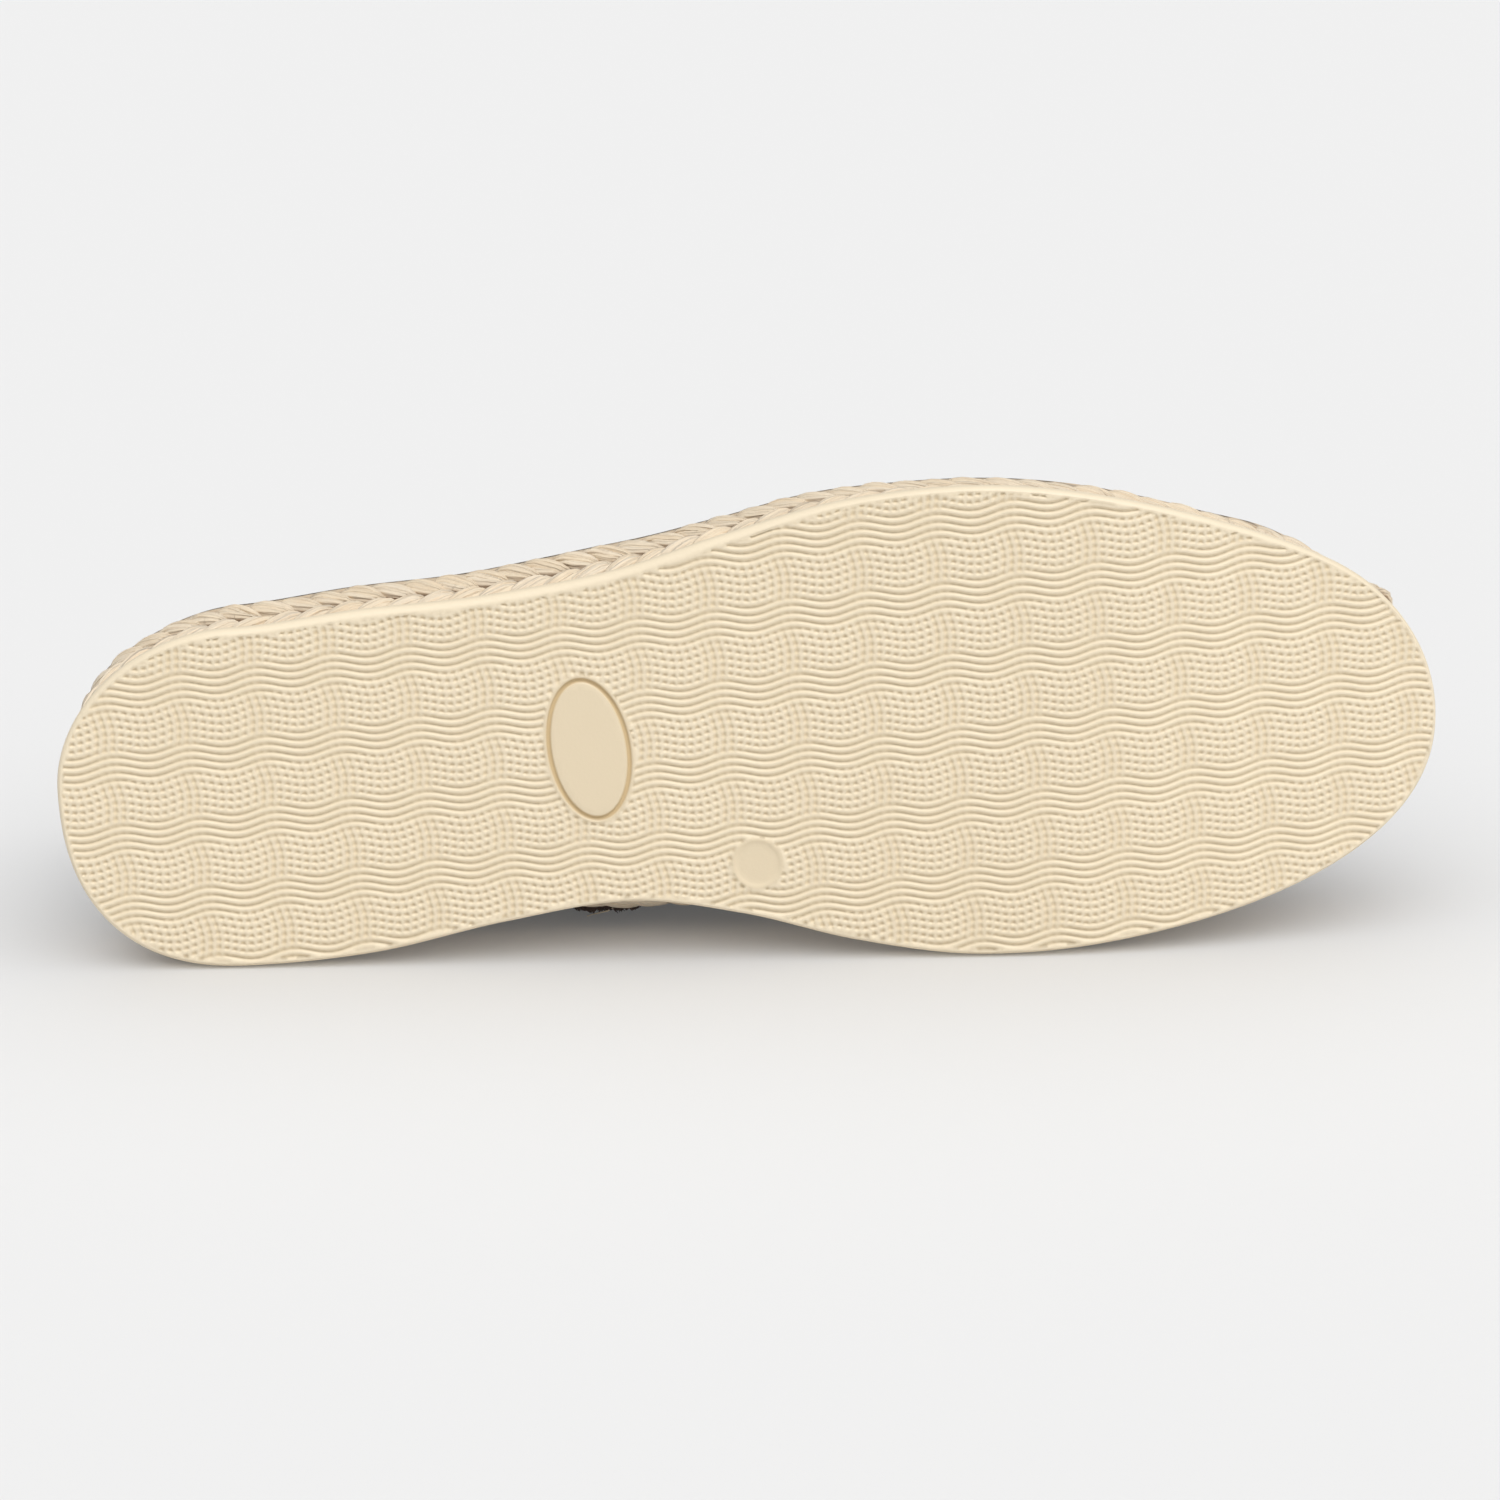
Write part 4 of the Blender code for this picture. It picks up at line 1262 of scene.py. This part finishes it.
class SHOE_OT_stitches(bpy.types.Operator):
    """Sews the upper to the jute with twine, and its hem and seams with thread"""

    bl_idname = "shoe.stitches"
    bl_label = "Stitches"

    def execute(self, context):
        colours, sizes = context.scene.espadrille_colours, context.scene.espadrille_sizes
        self.sew_edge(colours, sizes)
        self.sew_seams(colours, sizes)
        return {"FINISHED"}

    def sew_edge(self, colours, sizes):
        """Blanket stitch: a leg up from the jute's top edge at each step, and a run along the cloth."""
        radius = sizes.twine_radius / MM
        many = round(EDGE.length / (sizes.stitch_pitch / MM))
        legs, runs = [], []
        for side in ("outer", "inner"):
            span = np.sort(np.array([arc_of(0.0, side), arc_of(SOLE_LENGTH, side)]))
            arc = span[0] + (span[1] - span[0]) * (np.arange(many // 2) + 0.5) / (many // 2)
            points, outs = at_arc(arc)
            station = points[:, 0]
            on_jute = []
            for hold in LEG_ON_JUTE:
                share = (hold.height - OUTSOLE_THICK - GAP) / (JUTE_THICK - GAP)
                inset = jute_face(points, min(share, 1.0)) - hold.stand
                on_jute.append(moved_in(points, outs, inset, hold.height))
            on_cloth = [cloth_point(station, side, np.full(len(station), hold.height), hold.stand)
                        for hold in LEG_ON_CLOTH]
            legs.append(np.stack(on_jute + on_cloth, 1))
            line = np.linspace(0.0, 1.0, RUN_POINTS)
            step = (span[1] - span[0]) / (many // 2)
            for start in np.append(arc[0] - step, arc):
                place, _ = at_arc(start + step * line)
                here = np.clip(place[:, 0], 0.0, SOLE_LENGTH)
                height = LEG_ON_CLOTH[-1].height - RUN_SAG * np.sin(math.pi * line)
                runs.append(cloth_point(here, side, height, LEG_ON_CLOTH[-1].stand))
        look = thread_look("twine", colours.twine, colours.twine_groove_shade, TWINE_PLY)
        for name, paths, size in (("edge_stitch_legs", np.concatenate(legs), radius),
                                  ("edge_stitch_runs", np.array(runs), radius * RUN_THIN)):
            corners, faces, uv = tubes(paths, size, TWINE_SIDES)
            add_piece(name, corners, faces, [look], uv=uv)

    def sew_seams(self, colours, sizes):
        """Short thread stitches under the hem of the collar and beside the side seams."""
        pitch = sizes.seam_stitch / MM
        paths = []
        line = np.linspace(-1.0, 1.0, STITCH_POINTS)
        bow = STITCH_STAND - STITCH_DIP * line**4
        line = line * STITCH_LONG * pitch
        for side in ("outer", "inner"):
            turns = np.linspace(0.0, math.pi / 2.0, 120)
            start = THROAT - THROAT_ROUND
            side_part = np.arange(SEAM_START, start, 0.5)
            station = np.concatenate([side_part, start + THROAT_ROUND * np.sin(turns)])
            edge = np.stack([station, self.collar_runs(station, side)], 1)
            ahead = unit(np.gradient(edge, axis=0))
            hem, runs = (edge + (HEM_DEEP - HEM_STITCH_IN) * np.stack([ahead[:, 1], -ahead[:, 0]], 1)).T
            track = cloth_point(hem, side, runs, 0.0)
            paths += self.along_track(track, hem, side, runs, pitch, line, bow)
            high = np.arange(SEAM_START, 200.0, 0.4)
            rise = FOOT_HEIGHT + high * SEAM_UPRIGHT - SEAM_LEVEL
            seam = SEAM_STATION + SEAM_STITCH_AHEAD - SEAM_SLANT * rise
            keep = high < self.collar_runs(seam, side) - HEM_DEEP - 1.0
            track = cloth_point(seam[keep], side, high[keep], 0.0)
            paths += self.along_track(track, seam[keep], side, high[keep], pitch, line, bow)
        look = thread_look("seam_thread", colours.canvas_fleck, colours.canvas, 0.9)
        corners, faces, uv = tubes(np.array(paths), STITCH_RADIUS, 6)
        add_piece("seam_stitches", corners, faces, [look], uv=uv)

    def collar_runs(self, station, side):
        """Length of each rib from the foot up to the collar."""
        share = np.linspace(0.0, 1.0, COLLAR_SAMPLES)[None] * kept_share(station)[:, None]
        places = np.broadcast_to(station[:, None], share.shape)
        return runs_along(last_point(places, side, share))[:, -1]

    def along_track(self, track, station, side, runs, pitch, line, bow):
        """Stitches at even steps of a track over the cloth."""
        arcs = runs_along(track)
        made = []
        for middle in np.arange(pitch, arcs[-1] - pitch, pitch):
            wanted = middle + line
            here = np.interp(wanted, arcs, station)
            made.append(cloth_point(here, side, np.interp(wanted, arcs, runs), bow[:, None]))
        return made


class SHOE_OT_fray(bpy.types.Operator):
    """Lets a raw edge of the canvas hang out of the seam at the inner waist, with loose threads"""

    bl_idname = "shoe.fray"
    bl_label = "Frayed edge"

    def execute(self, context):
        colours, sizes = context.scene.espadrille_colours, context.scene.espadrille_sizes
        draw = np.random.default_rng(SEED + 2)
        ends = np.array(FRAYS)
        stations = np.linspace(ends[0, 0], ends[-1, 0], FRAY_COLUMNS)
        low = np.interp(stations, ends[:, 0], ends[:, 1])
        falls = np.linspace(0.0, 1.0, FRAY_ROWS)
        points, outs = edge_at(stations, "inner")
        ragged = draw.uniform(FRAY_RAGGED, 1.0, len(stations))
        top = foot_inset(stations, "inner") - FRAY_TUCK
        waves = 0.3 * np.sin(stations * 1.1) + 0.2 * np.sin(stations * 2.3 + 1.0)
        grid = []
        for fall in falls:
            inset = top + (low - top) * fall * ragged
            grid.append(moved_in(points, outs, inset, FRAY_LEVEL + waves * fall))
        grid = np.stack(grid, 1)
        index = np.arange(grid.shape[0] * grid.shape[1]).reshape(grid.shape[:2])
        faces = np.stack([index[:-1, :-1], index[1:, :-1], index[1:, 1:], index[:-1, 1:]], -1).reshape(-1, 4)
        uv = np.stack(np.meshgrid(falls * FRAY_LONG, stations), -1).reshape(-1, 2)
        look = cloth_look("raw_canvas", colours.raw_thread, colours.raw_thread, sizes.weave_thread / MM, 0.25)
        edge = add_piece("upper_raw_edge", grid.reshape(-1, 3), faces.tolist(), [look], uv=uv)
        make_active(edge)
        wall = edge.modifiers.new("wall", "SOLIDIFY")
        wall.thickness = FRAY_THICK * MM
        bpy.ops.object.modifier_apply(modifier=wall.name)
        face_outwards(edge)

        many = FRAY_THREADS
        at = draw.integers(0, len(stations), many)
        start = grid[at, -2]
        run = draw.uniform(*FRAY_RUNS, many)
        side = draw.normal(0.0, FRAY_TURN, many)
        curl = draw.normal(0.0, FRAY_CURL, many)
        paths = np.zeros((many, FRAY_STEPS, 3))
        for step, share in enumerate(np.linspace(0.0, 1.0, FRAY_STEPS)):
            out = outs[at] * (run * share)[:, None]
            paths[:, step, :2] = start[:, :2] + out
            paths[:, step, 0] += run * share * np.sin(side + curl * share)
            paths[:, step, 2] = start[:, 2] + run * share * 0.4 * np.cos(curl * 2.0 + share * 2.0)
        corners, faces, uv = tubes(paths, FRAY_RADIUS, 4, 0.5)
        thread = thread_look("raw_thread", colours.raw_thread, colours.canvas, RAW_PLY)
        add_piece("upper_raw_threads", corners, faces, [thread], uv=uv)

        at, inset = np.array(LOOSE_THREAD).T
        points, outs = edge_at(at, "inner")
        corners, faces, uv = tubes(moved_in(points, outs, inset, LOOSE_LEVEL)[None], LOOSE_RADIUS, 6, 0.4)
        thread = thread_look("loose_thread", colours.jute_pale, colours.jute, RAW_PLY)
        add_piece("lining_loose_thread", corners, faces, [thread], uv=uv)
        return {"FINISHED"}


class SHOE_OT_insole(bpy.types.Operator):
    """Lays a soft-edged cloth sock on the jute"""

    bl_idname = "shoe.insole"
    bl_label = "Insole"

    def execute(self, context):
        colours, sizes = context.scene.espadrille_colours, context.scene.espadrille_sizes
        station = upper_stations()
        rims = []
        for side in ("outer", "inner"):
            points, outs = edge_at(station, side)
            inset = foot_inset(station, side) + UPPER_WALL + 2.0 * GAP
            rims.append(moved_in(points, outs, inset, 0.0))
        across = (1.0 - np.cos(np.linspace(0.0, math.pi, SOCK_COLUMNS))) / 2.0
        outer, inner = (rim[1:-1, None] for rim in rims)
        plan = outer * (1.0 - across)[None, :, None] + inner * across[None, :, None]
        plan[..., 2] = lift(plan[..., 0])
        width = np.linalg.norm(outer - inner, axis=2)
        from_edge = np.minimum(across, 1.0 - across)[None] * width
        ends = np.minimum(plan[:, :1, 0] - rims[0][0, 0], rims[0][-1, 0] - plan[:, :1, 0])
        near = np.clip(np.minimum(from_edge, ends) / SOCK_ROUND, 0.0, 1.0)
        thick = INSOLE_THICK * (SOCK_EDGE + (1.0 - SOCK_EDGE) * np.sqrt(1.0 - (1.0 - near) ** 2))
        top, bottom = plan.copy(), plan.copy()
        top[..., 2] += FOOT_HEIGHT + thick
        bottom[..., 2] += FOOT_HEIGHT
        corners = np.concatenate([top.reshape(-1, 3), bottom.reshape(-1, 3)])
        size = plan.shape[:2]
        index = np.arange(size[0] * size[1]).reshape(size)
        sheet = np.stack([index[:-1, :-1], index[1:, :-1], index[1:, 1:], index[:-1, 1:]], -1).reshape(-1, 4)
        edge = np.concatenate([index[:-1, 0], index[-1, :-1], index[:0:-1, -1], index[0, :0:-1]])
        under = index.size
        faces = sheet.tolist() + (sheet[:, ::-1] + under).tolist() + ring_faces(edge, edge + under)
        uv = np.tile(plan[..., :2].reshape(-1, 2), (2, 1))
        look = cloth_look("sock_cloth", colours.sock, colours.sock_fleck, sizes.sock_thread / MM, 0.1)
        piece = add_piece("insole_sock", corners, faces, [look], uv=uv)
        face_outwards(piece)
        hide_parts("insole")
        return {"FINISHED"}


class SHOE_OT_stage(bpy.types.Operator):
    """Sets the pale floor, the soft light and the camera"""

    bl_idname = "shoe.stage"
    bl_label = "Stage"

    def execute(self, context):
        scene, stage = context.scene, context.scene.espadrille_stage
        bpy.ops.object.select_all(action="DESELECT")
        bpy.ops.mesh.primitive_plane_add(size=FLOOR_SIZE, location=(0.0, 0.0, 0.0))
        floor = bpy.context.object
        floor.name = "floor"
        look, tree, shader = new_look("pale_floor", 0.8)
        shader.inputs["Base Color"].default_value = (*scene.espadrille_colours.floor, 1.0)
        shader.inputs["Specular IOR Level"].default_value = 0.0
        # The floor glows a little: painted light that lifts its shadows.
        shader.inputs["Emission Color"].default_value = (1.0, 1.0, 1.0, 1.0)
        shader.inputs["Emission Strength"].default_value = stage.glow
        floor.data.materials.append(look)
        self.add_light("key", stage.key, stage.key_spread, stage.key_from, floor, "EXCLUDE")
        self.add_light("ceiling", stage.ceiling, stage.ceiling_spread, stage.ceiling_from, floor, "INCLUDE")

        world = bpy.data.worlds.new("studio")
        world.use_nodes = True
        tree = world.node_tree
        direction = node(tree, "ShaderNodeTexCoord").outputs["Generated"]
        height = node(tree, "ShaderNodeSeparateXYZ", {0: direction}).outputs[2]
        bright = node(tree, "ShaderNodeMapRange", {"Value": height, "To Min": stage.horizon})
        sky = tree.nodes["Background"]
        sky.inputs["Color"].default_value = (1.0, 1.0, 1.0, 1.0)
        tree.links.new(calc(tree, "MULTIPLY", bright.outputs[0], stage.sky), sky.inputs["Strength"])
        scene.world = world

        level, rise = math.cos(stage.elevation), math.sin(stage.elevation)
        away = Vector((math.sin(stage.azimuth) * level, -math.cos(stage.azimuth) * level, rise))
        right = (-away).cross(Vector((0.0, 0.0, 1.0))).normalized()
        up = right.cross(-away)
        cos, sin = math.cos(stage.roll), math.sin(stage.roll)
        axes = Matrix((right * cos + up * sin, up * cos - right * sin, away)).transposed()
        data = bpy.data.cameras.new("camera")
        data.lens = stage.lens
        data.sensor_width = SENSOR_WIDTH
        camera = bpy.data.objects.new("camera", data)
        camera.matrix_world = Matrix.Translation(Vector(stage.aim) + away * stage.distance) @ axes.to_4x4()
        scene.collection.objects.link(camera)
        scene.camera = camera
        scene.view_settings.view_transform = "Standard"
        return {"FINISHED"}

    def add_light(self, name, strength, spread, source, floor, state):
        """A sun that lights the floor alone, or all but the floor."""
        data = bpy.data.lights.new(name, "SUN")
        data.energy = strength
        data.angle = spread
        lamp = bpy.data.objects.new(name, data)
        lamp.rotation_euler = Vector(source).to_track_quat("Z", "Y").to_euler()
        lamp.location = Vector(source)
        bpy.context.scene.collection.objects.link(lamp)
        receivers = bpy.data.collections.new(name + "_receivers")
        receivers.objects.link(floor)
        receivers.collection_objects[0].light_linking.link_state = state
        lamp.light_linking.receiver_collection = receivers


OPERATORS = (
    SHOE_OT_stage,
    SHOE_OT_outsole,
    SHOE_OT_plait,
    SHOE_OT_hairs,
    SHOE_OT_insole,
    SHOE_OT_upper,
    SHOE_OT_stitches,
    SHOE_OT_fray,
)


class SHOE_PT_espadrille(bpy.types.Panel):
    """Lists the pieces of the shoe"""

    bl_label = "Espadrille"
    bl_idname = "SHOE_PT_espadrille"
    bl_space_type = "VIEW_3D"
    bl_region_type = "UI"
    bl_category = "Espadrille"

    def draw(self, context):
        for operator in OPERATORS:
            self.layout.operator(operator.bl_idname)
        for name, group in GROUPS.items():
            box = self.layout.box()
            for key in group.__annotations__:
                box.prop(getattr(context.scene, name), key)


GROUPS = {
    "espadrille_colours": EspadrilleColours,
    "espadrille_sizes": EspadrilleSizes,
    "espadrille_stage": EspadrilleStage,
}
CLASSES = (*GROUPS.values(), *OPERATORS, SHOE_PT_espadrille)


def register():
    for made in CLASSES:
        bpy.utils.register_class(made)
    for name, group in GROUPS.items():
        setattr(bpy.types.Scene, name, PointerProperty(type=group))


def unregister():
    for name in GROUPS:
        delattr(bpy.types.Scene, name)
    for made in reversed(CLASSES):
        bpy.utils.unregister_class(made)


def main():
    register()
    for operator in OPERATORS:
        family, name = operator.bl_idname.split(".")
        getattr(getattr(bpy.ops, family), name)()


if __name__ == "__main__":
    main()
